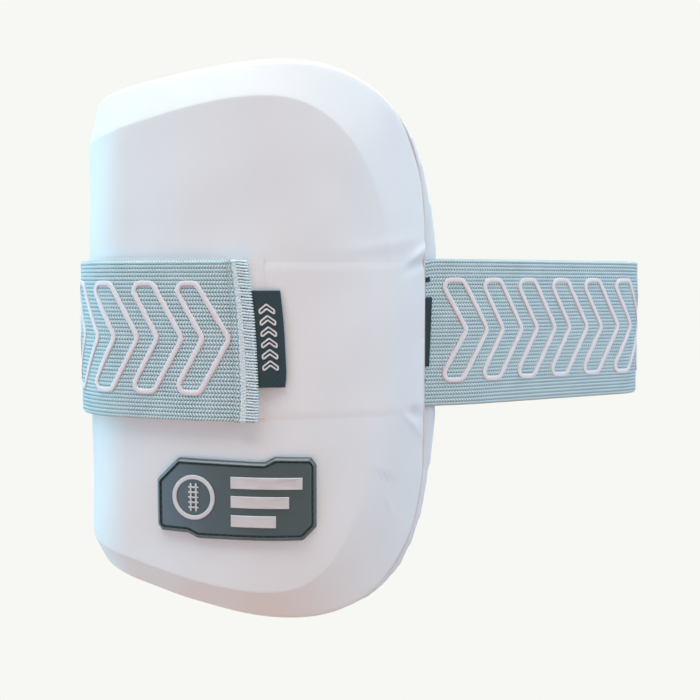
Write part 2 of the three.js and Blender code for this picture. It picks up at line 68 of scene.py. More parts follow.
# %% [markdown]
# ## The camera
# The photograph was taken from a little to the right of the pad's front and slightly above its middle. A
# camera is easiest to place by its own position, turn and lens, so these are named values. The lens follows
# from the focal length in pixels of a square picture.

# %% Camera
CAMERA_PLACE = (225.2, -484.8, 28.9)
CAMERA_PITCH, CAMERA_TURN = 3.62, 17.0
FOCAL_PIXELS, PICTURE_PIXELS = 1088.0, 700.0
SENSOR_WIDTH = 36.0
NEAREST_SEEN = 10.0

camera = bpy.data.objects.new("camera", bpy.data.cameras.new("camera"))
SCENE.collection.objects.link(camera)
SCENE.camera = camera
camera.location = [MM * value for value in CAMERA_PLACE]
camera.rotation_euler = (math.radians(90 - CAMERA_PITCH), 0, math.radians(CAMERA_TURN))
camera.data.sensor_width = SENSOR_WIDTH
camera.data.lens = FOCAL_PIXELS / PICTURE_PIXELS * SENSOR_WIDTH
camera.data.clip_start = NEAREST_SEEN * MM
print("lens:", round(camera.data.lens, 2), "mm")

# %% [markdown]
# ## Where things lie on the pad
# The pad's front face is a flat cut bent round the chest, so a place on it is two distances and a height:
# along the face from the right edge, up, and out from the back face. Seen from above, the face is four arcs
# laid end to end. All these sizes are in millimetres, and they are the ones that the solids were made with.

# %% The pad's plan
PAD_ARCS = ((88.0, 70.7), (340.0, 10.0), (38.0, 83.0), (150.0, 9.5))  # radius, and sweep in degrees
FLAT_ARC, LEFT_CORNER, LEFT_FLAP = 1, 2, 3
PAD_THICKNESS = 20.0


def laid_arcs():
    """Start along the face, end, centre x, centre y, radius and first bearing of each arc."""
    bearing = math.radians(PAD_ARCS[0][1] + PAD_ARCS[FLAT_ARC][1] / 2)
    along, centre, last_radius = 0.0, np.zeros(2), PAD_ARCS[0][0]
    rows = []
    for radius, sweep in PAD_ARCS:
        facing = np.array([math.sin(bearing), -math.cos(bearing)])
        centre = centre + (last_radius - radius) * facing
        length = radius * math.radians(sweep)
        rows.append([along, along + length, *centre, radius, bearing])
        along, bearing, last_radius = along + length, bearing - math.radians(sweep), radius
    arcs = np.array(rows)
    arcs[:, 2] -= arcs[FLAT_ARC, 2]
    arcs[:, 3] += PAD_ARCS[FLAT_ARC][0] - PAD_THICKNESS - arcs[FLAT_ARC, 3]
    return arcs


ARC_FROM, ARC_TO, ARC_X, ARC_Y, ARC_RADIUS, ARC_BEARING = laid_arcs().T
PAD_LENGTH = ARC_TO[-1]
FLAT_TO = ARC_TO[FLAT_ARC]


def pad_place(along, z, lift):
    """The point at a distance along the front face, a height, and a lift above the back face."""
    along, z, lift = np.broadcast_arrays(along, z, lift)
    arc = np.clip(np.searchsorted(ARC_TO, along, side="right"), 0, len(ARC_TO) - 1)
    bearing = ARC_BEARING[arc] - (along - ARC_FROM[arc]) / ARC_RADIUS[arc]
    radius = ARC_RADIUS[arc] + lift - PAD_THICKNESS
    x = ARC_X[arc] + radius * np.sin(bearing)
    y = ARC_Y[arc] - radius * np.cos(bearing)
    return np.stack([x, y, z], -1) * MM


def smooth(share):
    """From 0 to 1, with a soft start and end."""
    share = np.clip(share, 0, 1)
    return share * share * (3 - 2 * share)


def round_corner(share, power):
    """Height of a rounded corner, from 1 down to 0."""
    return (1 - np.clip(share, 0, 1) ** power) ** (1 / power)


print("pad length along its face:", round(PAD_LENGTH, 1), "mm")

# %% [markdown]
# ## The rim
# Two outlines shape the pad: the seam all round it, and the crease where the raised field turns into the
# bevelled border. Both are looked up by direction from one point on the crown line, because a mesh of rings
# round that point can then have an edge loop exactly on the crease, which keeps it crisp.

# %% The rim's outlines
# Above and below the middle: the seam's height at its crown, its fall to the left and its height at the right
# end, then the crease's height and fall, and the length and roundness of the crease's curve on the right.
RIM_TOP = {
    "edge": 131.0, "fall": 14.0, "corner": 50.0,
    "crease": 113.4, "crease_fall": 19.6, "run": 66.0, "power": 2.3,
}
RIM_BOTTOM = {
    "edge": 129.0, "fall": 20.0, "corner": 50.0,
    "crease": 116.7, "crease_fall": 20.0, "run": 54.0, "power": 2.5,
}
EDGE_CROWN, EDGE_POWER = 88.0, 2.15
CREASE_CROWN, CREASE_BLEND = 98.0, 60.0
LEFT_CORNER_RUN, LEFT_CORNER_RISE = 26.0, 34.0
LEFT_BEVEL = 14.0
LEFT_CORNER_FROM = PAD_LENGTH - LEFT_CORNER_RUN
# The stuffed rim swells a little along the bottom: direction, half width of the swelling, and size.
RIM_SWELLS = ((-110.0, 18.0, 2.4), (-72.0, 30.0, 1.3))
TABLE_STEPS = 2880


def edge_height(side, along):
    """Height of the seam above or below the middle."""
    share = (EDGE_CROWN - along) / EDGE_CROWN
    right = side["corner"] + (side["edge"] - side["corner"]) * round_corner(share, EDGE_POWER)
    fall = side["fall"] * smooth((along - EDGE_CROWN) / (LEFT_CORNER_FROM - EDGE_CROWN))
    corner = round_corner((along - LEFT_CORNER_FROM) / LEFT_CORNER_RUN, 2)
    left = side["edge"] - fall - LEFT_CORNER_RISE * (1 - corner)
    return np.where(along < EDGE_CROWN, right, left)


def crease_height(side, along, run):
    """Height of the crease above or below the middle."""
    right = side["crease"] * round_corner((CREASE_CROWN - along) / run, side["power"])
    end = PAD_LENGTH - LEFT_BEVEL
    fall = side["crease_fall"] * smooth((along - CREASE_CROWN) / (LEFT_CORNER_FROM - CREASE_CROWN))
    corner = round_corner((along - LEFT_CORNER_FROM) / (end - LEFT_CORNER_FROM), 2)
    left = side["crease"] - fall - LEFT_CORNER_RISE * (1 - corner)
    return np.where(along < CREASE_CROWN, right, np.where(along > end, 0, left))


def inside_edge(along, z):
    height = np.where(z > 0, edge_height(RIM_TOP, along), edge_height(RIM_BOTTOM, along))
    return (along > 0) & (along < PAD_LENGTH) & (np.abs(z) < height)


def inside_crease(along, z):
    run = RIM_BOTTOM["run"] + (RIM_TOP["run"] - RIM_BOTTOM["run"]) * smooth((z / CREASE_BLEND + 1) / 2)
    height = np.where(z > 0, crease_height(RIM_TOP, along, run), crease_height(RIM_BOTTOM, along, run))
    return np.abs(z) < height


def reach(inside, angles, halvings=40):
    """How far an outline is from the crown point in each direction, by halving."""
    near, far = np.zeros_like(angles), np.full_like(angles, 2 * PAD_LENGTH)
    for _ in range(halvings):
        middle = (near + far) / 2
        is_inside = inside(CREASE_CROWN + middle * np.cos(angles), middle * np.sin(angles))
        near, far = np.where(is_inside, middle, near), np.where(is_inside, far, middle)
    return near


TABLE_ANGLES = np.linspace(-math.pi, math.pi, TABLE_STEPS + 1)
EDGE_TABLE = reach(inside_edge, TABLE_ANGLES)
CREASE_TABLE = reach(inside_crease, TABLE_ANGLES)
for toward, width, size in RIM_SWELLS:
    EDGE_TABLE += size * np.exp(-((np.degrees(TABLE_ANGLES) - toward) / width) ** 2)


def rim_of(along, z):
    """Distance from the crown point, its angle, and the distances of crease and seam in that direction."""
    across = along - CREASE_CROWN
    angle = np.arctan2(z, across)
    crease, edge = (np.interp(angle, TABLE_ANGLES, table) for table in (CREASE_TABLE, EDGE_TABLE))
    return np.hypot(across, z), angle, crease, edge


print("seam from the crown point:", round(EDGE_TABLE.min(), 1), "to", round(EDGE_TABLE.max(), 1), "mm")

# %% [markdown]
# ## The moulded front
# The front is foam, pressed in a mould and covered with a taut stretch fabric. A mould leaves a level field,
# a crisp crease and a sloping border that rolls over into the seam. The cover adds slight unevenness, small
# puckers beside the seam, and pulls where the strap tugs at the right edge. These could be sculpted by hand,
# but as heights they come from one function, and everything that lies on the pad rises and falls with it.

# %% Heights of the front face
BEVEL_DROP = 6.0
CREASE_FILLET = 0.5
# Where the crease fades towards the right: from and to, as shares of the way, above and below the middle.
FADE_ABOVE, FADE_BELOW = (0.5, 0.92), (0.28, 0.75)
SHOULDER = 1.9
# Waves of the foam: length along, length up, phase and height.
WAVES = (
    (97.0, 131.0, 0.4, 0.16),
    (61.0, 83.0, 2.1, 0.11),
    (43.0, 150.0, 4.0, 0.08),
    (150.0, 47.0, 5.2, 0.09),
)
PUCKER_PITCH, PUCKER_REACH, PUCKER_HEIGHT = 0.052, 7.0, 0.16
PUCKER_DRIFT, PUCKER_DRIFTS = 2.0, 5.0
# Pulls and dents: along, z, slant in degrees, half length, half width and height.
PULLS = (
    (8.0, 43.0, 160.0, 12.0, 2.6, 1.5),
    (10.0, 36.6, 168.0, 13.0, 2.4, -1.3),
    (10.0, -37.0, 15.0, 7.0, 2.5, -1.4),
    (14.0, -41.5, 30.0, 12.0, 2.2, 0.7),
    (37.0, -63.0, 12.0, 7.0, 1.5, 0.7),
    (35.0, -65.6, 12.0, 7.0, 1.6, -0.8),
    (33.0, -79.0, 60.0, 6.0, 1.6, 0.35),
    (80.0, 4.0, 90.0, 24.0, 7.0, -0.5),
    (30.0, 47.0, 172.0, 26.0, 3.6, 0.45),
    (55.0, 60.0, 60.0, 26.0, 9.0, -0.3),
)


def relief(along, z):
    """Unevenness of the cover, in millimetres of lift."""
    total = np.zeros(np.broadcast(along, z).shape)
    for length, height, phase, size in WAVES:
        total += size * np.sin(math.tau * (along / length + z / height) + phase)
    for at, up, slant, half_length, half_width, size in PULLS:
        turn = math.radians(slant)
        ahead = (along - at) * math.cos(turn) + (z - up) * math.sin(turn)
        aside = (z - up) * math.cos(turn) - (along - at) * math.sin(turn)
        total += size * np.exp(-((ahead / half_length) ** 2) - (aside / half_width) ** 2)
    return total


def front_lift(along, z):
    """Lift of the front face: the field, the bevel past the crease, the shoulder and the cover's relief."""
    distance, angle, crease, edge = rim_of(along, z)
    bevel = (distance - crease) / (edge - crease)
    fillet = CREASE_FILLET / (edge - crease)
    crisp = (bevel + np.sqrt(bevel**2 + fillet**2)) / 2
    sideways = np.clip(-np.cos(angle), 0, 1)
    above = smooth((sideways - FADE_ABOVE[0]) / (FADE_ABOVE[1] - FADE_ABOVE[0]))
    below = smooth((sideways - FADE_BELOW[0]) / (FADE_BELOW[1] - FADE_BELOW[0]))
    share = crisp + (smooth(bevel) - crisp) * np.where(z > 0, above, below)
    past = np.clip(distance - (edge - SHOULDER), 0, SHOULDER)
    shoulder = SHOULDER - np.sqrt(SHOULDER**2 - past**2)
    near_seam = np.exp(-(((edge - distance) / PUCKER_REACH) ** 2))
    pucker = np.sin(angle / PUCKER_PITCH + PUCKER_DRIFT * np.sin(PUCKER_DRIFTS * angle)) * near_seam
    return PAD_THICKNESS - BEVEL_DROP * share - shoulder + PUCKER_HEIGHT * pucker + relief(along, z)


print("lift of the field near its crown point:", round(float(front_lift(CREASE_CROWN, 1.0)), 2), "mm")

# %% [markdown]
# ## Finishes
# A finish is a material whose nodes draw what the real surface shows. One small function adds a node, sets it
# and links it. Colours are written as sRGB hex values, as a colour picker shows them, and one function turns
# them into the linear numbers that shaders need. Most finishes here drift between two close tones, because a
# single flat colour looks like plastic.

# %% Helpers for finishes


def linear(hex_colour):
    """An sRGB hex colour as linear red, green, blue and alpha."""
    levels = [int(hex_colour[i:i + 2], 16) / 255 for i in (1, 3, 5)]
    return [v / 12.92 if v <= 0.04045 else ((v + 0.055) / 1.055) ** 2.4 for v in levels] + [1.0]


def set_inputs(tree, node, inputs):
    """Sets inputs to values, or links them to a socket or to the first output of a node."""
    for name, value in inputs.items():
        source = value.outputs[0] if isinstance(value, bpy.types.Node) else value
        if isinstance(source, bpy.types.NodeSocket):
            tree.links.new(source, node.inputs[name])
        else:
            node.inputs[name].default_value = source


def add_node(tree, kind, inputs=None, **settings):
    """Adds a node, with its settings, and with values or links for its inputs."""
    node = tree.nodes.new(kind)
    for name, value in settings.items():
        setattr(node, name, value)
    set_inputs(tree, node, inputs or {})
    return node


def new_finish(name, values):
    """A material, its node tree and its surface shader, with that shader's constant values set."""
    material = bpy.data.materials.new(name)
    material.use_nodes = True
    surface = material.node_tree.nodes["Principled BSDF"]
    set_inputs(material.node_tree, surface, values)
    return material, material.node_tree, surface


def mottled(tree, surface, light, shade, size, detail):
    """Lets a surface drift between two tones in soft patches. Returns the coordinates and the patches."""
    place = add_node(tree, "ShaderNodeTexCoord").outputs["Object"]
    noise = {"Vector": place, "Scale": 1 / (size * MM), "Detail": detail}
    patches = add_node(tree, "ShaderNodeTexNoise", noise).outputs["Fac"]
    tones = {0: patches, 6: linear(shade), 7: linear(light)}
    colour = add_node(tree, "ShaderNodeMix", tones, data_type="RGBA").outputs[2]
    set_inputs(tree, surface, {"Base Color": colour})
    return place, patches


print("sRGB #808080 is", round(linear("#808080")[0], 3), "in linear numbers")

# %% [markdown]
# ### Satin stretch fabric
# The pad's cover is a fine polyester knit, pulled taut over foam. To the eye it is nearly smooth: white, with
# a soft broad sheen and a grain that only shows close up. Its stitches are about 0.4 mm wide, too fine to
# show in the render, so they are drawn at 0.8 mm. The lining and the loop fabric are knits too, with a duller
# and rougher face, so one function makes all three.

# %% Cover fabric
KNIT_SIZE, KNIT_DEPTH, KNIT_JITTER = 0.8, 0.12, 0.35
MOTTLE_SIZE, MOTTLE_DETAIL = 26.0, 3.0
KNIT_SHEEN = {"Sheen Weight": 0.25, "Sheen Roughness": 0.4, "Specular IOR Level": 0.28}


def knit_finish(name, light, shade, roughness, strength):
    """A knit: faint patches of tone, a soft sheen, and stitches as shallow dimples."""
    material, tree, surface = new_finish(name, {"Roughness": roughness, **KNIT_SHEEN})
    place, _ = mottled(tree, surface, light, shade, MOTTLE_SIZE, MOTTLE_DETAIL)
    cells = {"Vector": place, "Scale": 1 / (KNIT_SIZE * MM), "Randomness": KNIT_JITTER}
    stitches = add_node(tree, "ShaderNodeTexVoronoi", cells).outputs["Distance"]
    dimples = {"Height": stitches, "Strength": strength, "Distance": KNIT_DEPTH * MM}
    set_inputs(tree, surface, {"Normal": add_node(tree, "ShaderNodeBump", dimples, invert=True)})
    return material


COVER = knit_finish("satin stretch knit", "#ECEDF0", "#E6E8EC", roughness=0.52, strength=0.25)
CUSHION = knit_finish("soft lining knit", "#E9ECF0", "#DFE3E9", roughness=0.7, strength=0.6)
LOOP_FABRIC = knit_finish("brushed loop knit", "#EFEFF2", "#E8E9ED", roughness=0.78, strength=0.3)
print("knits:", COVER.name, "-", CUSHION.name, "-", LOOP_FABRIC.name)

# %% [markdown]
# ## Meshes from rows
# The two pads and the badge are rings of points round a middle. They could be modelled by hand and then
# subdivided, but a ring is a row of a table, so here a mesh is a table of points, with a four-sided face
# between neighbouring rows and a fan at each pole. That puts edge loops just where a crease or a rim needs
# them.

# %% Helpers for meshes


def mesh_points(mesh):
    """Points of a mesh, in metres, one in each row."""
    flat = np.empty(len(mesh.vertices) * 3)
    mesh.vertices.foreach_get("co", flat)
    return flat.reshape(-1, 3)


def outward(mesh):
    """Turns a closed mesh's faces outwards: its volume, added up face by face, is then positive."""
    mesh.calc_loop_triangles()
    corners = np.empty(len(mesh.loop_triangles) * 3, np.int32)
    mesh.loop_triangles.foreach_get("vertices", corners)
    a, b, c = np.moveaxis(mesh_points(mesh)[corners.reshape(-1, 3)], 1, 0)
    if np.einsum("ij,ij->i", a, np.cross(b, c)).sum() < 0:
        mesh.flip_normals()
    return mesh


def mesh_of(name, points, faces):
    """A mesh from points and faces, which it turns outwards."""
    mesh = bpy.data.meshes.new(name)
    mesh.from_pydata(np.asarray(points).reshape(-1, 3).tolist(), [], faces)
    outward(mesh).update()
    return mesh


def ring_mesh(name, first_pole, rows, last_pole):
    """A closed mesh of rings, with a pole before the first ring and one after the last."""
    count = len(rows[0])
    ring = 1 + np.arange(len(rows) * count).reshape(len(rows), count)
    after = np.roll(ring, -1, 1)
    quads = np.stack([ring[:-1], after[:-1], after[1:], ring[1:]], -1).reshape(-1, 4)
    first_fan = np.stack([np.zeros(count, int), after[0], ring[0]], 1)
    last_fan = np.stack([np.full(count, 1 + ring.size), ring[-1], after[-1]], 1)
    points = np.concatenate([first_pole.reshape(1, 3), *rows, last_pole.reshape(1, 3)])
    return mesh_of(name, points, quads.tolist() + first_fan.tolist() + last_fan.tolist())


def joined(name, meshes):
    """One mesh from several."""
    faces, start = [], 0
    for mesh in meshes:
        faces += [[start + index for index in face.vertices] for face in mesh.polygons]
        start += len(mesh.vertices)
    result = bpy.data.meshes.new(name)
    result.from_pydata(np.concatenate([mesh_points(mesh) for mesh in meshes]).tolist(), [], faces)
    return result


def new_piece(name, mesh, material, slot, *nodes):
    """A finished piece: smooth, with its finish, riding on the body, and standing for its solids."""
    piece = bpy.data.objects.new(name, mesh)
    SCENE.collection.objects.link(piece)
    mesh.materials.clear()
    mesh.materials.append(material)
    mesh.polygons.foreach_set("use_smooth", [True] * len(mesh.polygons))
    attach(piece, "root")
    if nodes:
        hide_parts(*nodes)
    triangles = sum(len(face.vertices) - 2 for face in mesh.polygons)
    print(name, "has", triangles, "triangles")
    return piece


# %% [markdown]
# ### The front shell
# The shell is the moulded foam with its cover. It is firm and keeps its moulded form, so it needs no cloth
# simulation. Rows run from the middle of the field to the crease, over the bevel, round the shoulder and down
# to the seam. Behind, the shell is flat and lies on the back cushion.

# %% Front shell
PAD_COUNT = 640
FIELD_ROWS, BEVEL_ROWS = 56, 12
CREASE_ROWS = (-1.6, -0.8, -0.4, -0.15, 0.1, 0.35, 0.7, 1.6)
SHOULDER_ROWS = (0.0, 0.35, 0.6, 0.8, 0.93, 1.0)
BACK_ROWS = (0.97, 0.8, 0.55, 0.3)
SEAM_LIFT, SEAM_LIP, SEAM_TUCK = 10.3, 0.2, 1.2
JUST_ABOVE = 1e-6

angles = np.linspace(-math.pi, math.pi, PAD_COUNT, endpoint=False)
crease = np.interp(angles, TABLE_ANGLES, CREASE_TABLE)
edge = np.interp(angles, TABLE_ANGLES, EDGE_TABLE)


def polar_points(distance, lift=None):
    """A ring of points round the crown point, on the front face unless a lift is given."""
    along = CREASE_CROWN + distance * np.cos(angles)
    z = distance * np.sin(angles)
    return pad_place(along, z, front_lift(along, z) if lift is None else lift)


def front_rows():
    """Rings of the shell, from the middle of its field to the seam and behind it."""
    field_end = crease + CREASE_ROWS[0]
    distances = [field_end * share for share in np.linspace(0, 1, FIELD_ROWS + 1)[1:]]
    distances += [crease + offset for offset in CREASE_ROWS[1:]]
    bevel_from, bevel_to = crease + CREASE_ROWS[-1], edge - SHOULDER
    for share in np.linspace(0, 1, BEVEL_ROWS)[1:-1]:
        distances.append(bevel_from + (bevel_to - bevel_from) * share)
    distances += [edge - SHOULDER * (1 - share) for share in SHOULDER_ROWS]
    rows = [polar_points(distance) for distance in distances]
    rows.append(polar_points(edge - SEAM_TUCK / 3, SEAM_LIFT + SEAM_LIP))
    rows.append(polar_points(edge - SEAM_TUCK, SEAM_LIFT))
    return rows + [polar_points((edge - SEAM_TUCK) * share, SEAM_LIFT) for share in BACK_ROWS]


front_pole = pad_place(CREASE_CROWN, 0.0, front_lift(CREASE_CROWN, JUST_ABOVE))
inner_pole = pad_place(CREASE_CROWN, 0.0, SEAM_LIFT)
shell_mesh = ring_mesh("front_shell", front_pole, front_rows(), inner_pole)
pad_front = new_piece("front_shell", shell_mesh, COVER, "pad_shell", "pad_front")

# %% [markdown]
# ### The back cushion
# The back is a softer cushion, sewn to the shell all round. Its side is a round section, and on the right it
# swells into a roll outside the seam, which the strap's root flattens. One section swept round the rim would
# miss that roll, so there are two sections of a few points, and the side at any place is a blend of them.

# %% Back cushion
# The roll's ends, where it starts to thin, and how it flares beside the strap.
ROLL = {
    "top": 114.0, "bottom": -128.0, "full_top": 41.0, "full_bottom": -35.8,
    "flare": 0.27, "flare_reach": 22.0,
}
# How the strap presses the roll in: from, to, how softly, and the share that is left.
PRESSED = {"top": 40.0, "bottom": -34.6, "ease": 10.0, "size": 0.62}
# The roll grows in over this share of the way towards the right.
ROLL_GROWS = 0.35
# Sections from the seam to the chest side: past the seam, and lift.
PLAIN_SECTION = np.array([
    (-1.6, 9.9), (-0.4, 9.8), (0.7, 9.0), (1.2, 7.4), (1.2, 5.6), (0.7, 3.7), (-0.6, 1.9), (-2.6, 0.7),
    (-5.6, 0.0),
])
ROLL_SECTION = np.array([
    (-1.6, 9.9), (0.6, 9.5), (2.4, 10.4), (6.0, 13.0), (10.4, 13.4), (14.2, 10.4), (15.0, 5.8), (11.4, 1.4),
    (2.0, 0.0),
])
SECTION_STEPS = 4
CUSHION_TOP, CUSHION_TOP_INSET, CUSHION_TOP_ROWS = 9.9, 4.0, (0.35, 0.7, 1.0)
CHEST_ROWS, CHEST_CROWN, CHEST_POWER = 26, 2.2, 4


def roll_size(z):
    """How much of the roll there is at a height, from none to a little over the whole."""
    past = np.maximum(z - ROLL["full_top"], ROLL["full_bottom"] - z)
    above = (z - ROLL["full_top"]) / (ROLL["top"] - ROLL["full_top"])
    below = (z - ROLL["full_bottom"]) / (ROLL["bottom"] - ROLL["full_bottom"])
    taper = round_corner(np.maximum(np.maximum(above, below), 0), 2)
    flare = 1 + ROLL["flare"] * np.exp(-((np.maximum(past, 0) / ROLL["flare_reach"]) ** 2))
    clear = smooth(1 + np.maximum(z - PRESSED["top"], PRESSED["bottom"] - z) / PRESSED["ease"])
    return taper * flare * (PRESSED["size"] + (1 - PRESSED["size"]) * clear)


def spline_rows(knots, steps):
    """A smooth row of points through knots, which are on the first axis."""
    padded = np.concatenate([2 * knots[:1] - knots[1:2], knots, 2 * knots[-1:] - knots[-2:-1]])
    made = []
    for i in range(len(knots) - 1):
        a, b, c, d = padded[i:i + 4]
        slope, bend, twist = c - a, 2 * a - 5 * b + 4 * c - d, 3 * b - a - 3 * c + d
        made += [0.5 * (2 * b + slope * t + bend * t**2 + twist * t**3) for t in np.arange(steps) / steps]
    return np.array(made + [knots[-1]])


def back_rows():
    """Rings of the cushion, from under the shell round its side to the chest."""
    seam = np.stack([CREASE_CROWN + edge * np.cos(angles), edge * np.sin(angles)], 1)
    tangent = np.roll(seam, -1, 0) - np.roll(seam, 1, 0)
    past_seam = np.stack([tangent[:, 1], -tangent[:, 0]], 1)
    past_seam /= np.linalg.norm(past_seam, axis=1, keepdims=True)
    size = (roll_size(seam[:, 1]) * smooth(-np.cos(angles) / ROLL_GROWS))[None, :, None]
    knots = PLAIN_SECTION[:, None, :] * (1 - size) + ROLL_SECTION[:, None, :] * size
    side = spline_rows(knots, SECTION_STEPS)
    rows = [polar_points((edge - CUSHION_TOP_INSET) * share, CUSHION_TOP) for share in CUSHION_TOP_ROWS]
    for section in side:
        place = seam + section[:, :1] * past_seam
        rows.append(pad_place(place[:, 0], place[:, 1], section[:, 1]))
    last = seam + side[-1][:, :1] * past_seam
    centre = np.array([CREASE_CROWN, 0.0])
    for share in np.linspace(1, 0, CHEST_ROWS + 1)[1:-1]:
        place = centre + (last - centre) * share
        crown = CHEST_CROWN * (1 - share**CHEST_POWER)
        rows.append(pad_place(place[:, 0], place[:, 1], side[-1][:, 1] - crown))
    return rows


top_pole = pad_place(CREASE_CROWN, 0.0, CUSHION_TOP)
chest_pole = pad_place(CREASE_CROWN, 0.0, -CHEST_CROWN)
sewn_cushion = ring_mesh("back_cushion", top_pole, back_rows(), chest_pole)
print("the sewn cushion has", len(sewn_cushion.vertices), "points")

# %% [markdown]
# ### Stuffing the cushion
# A sewn cushion only looks soft once its filling pushes the fabric out. Sculpting that by hand is slow, and
# Blender's cloth can do it: the skin gets an even mesh, the seam and the roll past it are held, and pressure
# from inside swells the rest for twenty frames. The fabric is cut a little larger than the foam, so it
# buckles softly. How far a point moves is capped, so the cushion keeps its size.

# %% Stuffing
STUFFING = {
    "voxel": 3.2, "pressure": 4.0, "slack": 0.012, "stiffness": 6.0, "grip": 0.12, "frames": 20, "cap": 3.0,
}
# Held fast: what lies above this lift, on the shell's side, and what lies past the seam or this near it.
HELD = {"lift": 7.0, "beside_seam": 1.0}
LEAST_MOVE = 1e-9


def pad_measure(points):
    """Distance along the face, height and lift of points: the way back from pad_place."""
    x, y, z = (np.asarray(points) / MM).T
    bearings = np.arctan2(x[:, None] - ARC_X, ARC_Y - y[:, None])
    along = ARC_FROM + (ARC_BEARING - bearings) * ARC_RADIUS
    before, past = ARC_FROM - along, along - ARC_TO
    before[:, 0], past[:, -1] = 0, 0
    arc = np.argmin(np.maximum(np.maximum(before, past), 0), axis=1)
    lift = np.hypot(x - ARC_X[arc], y - ARC_Y[arc]) - ARC_RADIUS[arc] + PAD_THICKNESS
    return along[np.arange(len(x)), arc], z, lift


def on_bench(mesh):
    """A scratch object, to run modifiers on a mesh."""
    bench = bpy.data.objects.new("bench", mesh)
    SCENE.collection.objects.link(bench)
    return bench


def seen_mesh(bench):
    """The mesh of an object with its modifiers, as a plain mesh."""
    bpy.context.view_layer.update()
    return bpy.data.meshes.new_from_object(bench.evaluated_get(bpy.context.evaluated_depsgraph_get()))


def stuffed(mesh):
    """The cushion with an even skin, swollen by its filling."""
    bench = on_bench(mesh)
    skin = bench.modifiers.new("even skin", "REMESH")
    skin.mode = "VOXEL"
    skin.voxel_size = STUFFING["voxel"] * MM
    even = seen_mesh(bench)
    bench.modifiers.clear()
    bench.data = even
    start = mesh_points(even)
    along, z, lift = pad_measure(start)
    distance, _, _, seam = rim_of(along, z)
    fast = (lift > HELD["lift"]) | (distance > seam - HELD["beside_seam"])
    held = bench.vertex_groups.new(name="held")
    held.add(np.flatnonzero(fast).tolist(), 1.0, "REPLACE")
    held.add(np.flatnonzero(~fast).tolist(), STUFFING["grip"], "REPLACE")
    cloth = bench.modifiers.new("lining", "CLOTH").settings
    cloth.vertex_group_mass = "held"
    cloth.use_pressure = True
    cloth.uniform_pressure_force = STUFFING["pressure"]
    cloth.shrink_min = -STUFFING["slack"]
    cloth.bending_stiffness = STUFFING["stiffness"]
    cloth.effector_weights.gravity = 0
    for step in range(1, STUFFING["frames"] + 1):
        SCENE.frame_set(step)
    shift = mesh_points(seen_mesh(bench)) - start
    SCENE.frame_set(1)
    bench.modifiers.clear()
    length = np.linalg.norm(shift, axis=1, keepdims=True)
    print("the filling moved the skin by up to", round(float(length.max()) / MM, 2), "mm")
    shift *= np.minimum(1, STUFFING["cap"] * MM / np.maximum(length, LEAST_MOVE))
    even.vertices.foreach_set("co", (start + shift).ravel())
    even.update()
    finer = bench.modifiers.new("finer", "SUBSURF")
    finer.levels = finer.render_levels = 1
    result = seen_mesh(bench)
    bpy.data.objects.remove(bench)
    return result


cushion_mesh = stuffed(sewn_cushion)
pad_back = new_piece("back_cushion", cushion_mesh, CUSHION, "pad_cushion", "pad_back")

# %% [markdown]
# ## Made flat, then laid
# The strap, its print, its stitches and its labels are made flat and then sewn to a curved pad, and so they
# are here. What repeats is made by a node tree on the bench, with X to the right, Y up and Z out from the
# surface, and one function then carries each point to its place on the pad or on the strap. The flat places
# are kept as a UV map, so that a weave follows the cloth. A curve modifier could bend a strip too, but not
# over the pad's own heights.

# %% Bench helpers


def new_tree(name, lengths, counts=()):
    """A node tree that takes a path, named lengths and named counts. Returns it, its inputs and its end."""
    tree = bpy.data.node_groups.new(name, "GeometryNodeTree")
    sockets = [("Geometry", "OUTPUT", "Geometry"), ("Path", "INPUT", "Geometry")]
    sockets += [(title, "INPUT", "Float") for title in lengths]
    sockets += [(title, "INPUT", "Int") for title in counts]
    for title, way, kind in sockets:
        tree.interface.new_socket(title, in_out=way, socket_type="NodeSocket" + kind)
    return tree, add_node(tree, "NodeGroupInput").outputs, add_node(tree, "NodeGroupOutput")


def end_tree(tree, out, geometry, material):
    """Ends a tree: real meshes instead of instances, and the finish on them."""
    real = add_node(tree, "GeometryNodeRealizeInstances", {"Geometry": geometry})
    finished = add_node(tree, "GeometryNodeSetMaterial", {"Geometry": real, "Material": material})
    set_inputs(tree, out, {0: finished})
    return tree


def path_mesh(points, closed=False):
    """A line of edges through points in millimetres."""
    count = len(points)
    edges = [(i, (i + 1) % count) for i in range(count if closed else count - 1)]
    mesh = bpy.data.meshes.new("path")
    mesh.from_pydata((np.asarray(points) * MM).tolist(), edges, [])
    return mesh


def made_flat(tree, path=None, **sizes):
    """Runs a tree on a path, with lengths in millimetres and counts. Returns a plain mesh."""
    bench = on_bench(path or bpy.data.meshes.new("bench"))
    maker = bench.modifiers.new("maker", "NODES")
    maker.node_group = tree
    for item in tree.interface.items_tree:
        if item.name in sizes:
            unit = MM if item.socket_type == "NodeSocketFloat" else 1
            maker[item.identifier] = sizes[item.name] * unit
    mesh = seen_mesh(bench)
    bpy.data.objects.remove(bench)
    return mesh


def keep_flat(mesh, flat):
    """Keeps each point's flat place as a UV map."""
    corners = np.empty(len(mesh.loops), int)
    mesh.loops.foreach_get("vertex_index", corners)
    layer = mesh.uv_layers.new(name="flat")
    layer.uv.foreach_set("vector", np.asarray(flat)[corners, :2].ravel())
    return mesh


def laid(mesh, place):
    """Carries a flat mesh to its place, keeps its flat places, and turns its faces outwards."""
    flat = mesh_points(mesh)
    keep_flat(mesh, flat)
    mesh.vertices.foreach_set("co", place(*(flat.T / MM)).ravel())
    mesh.update()
    return outward(mesh)


def on_pad(x, y, height):
    """A flat place on the pad: X runs against the distance along, and height is from the front face."""
    return pad_place(-x, y, PAD_THICKNESS + height + relief(-x, y))


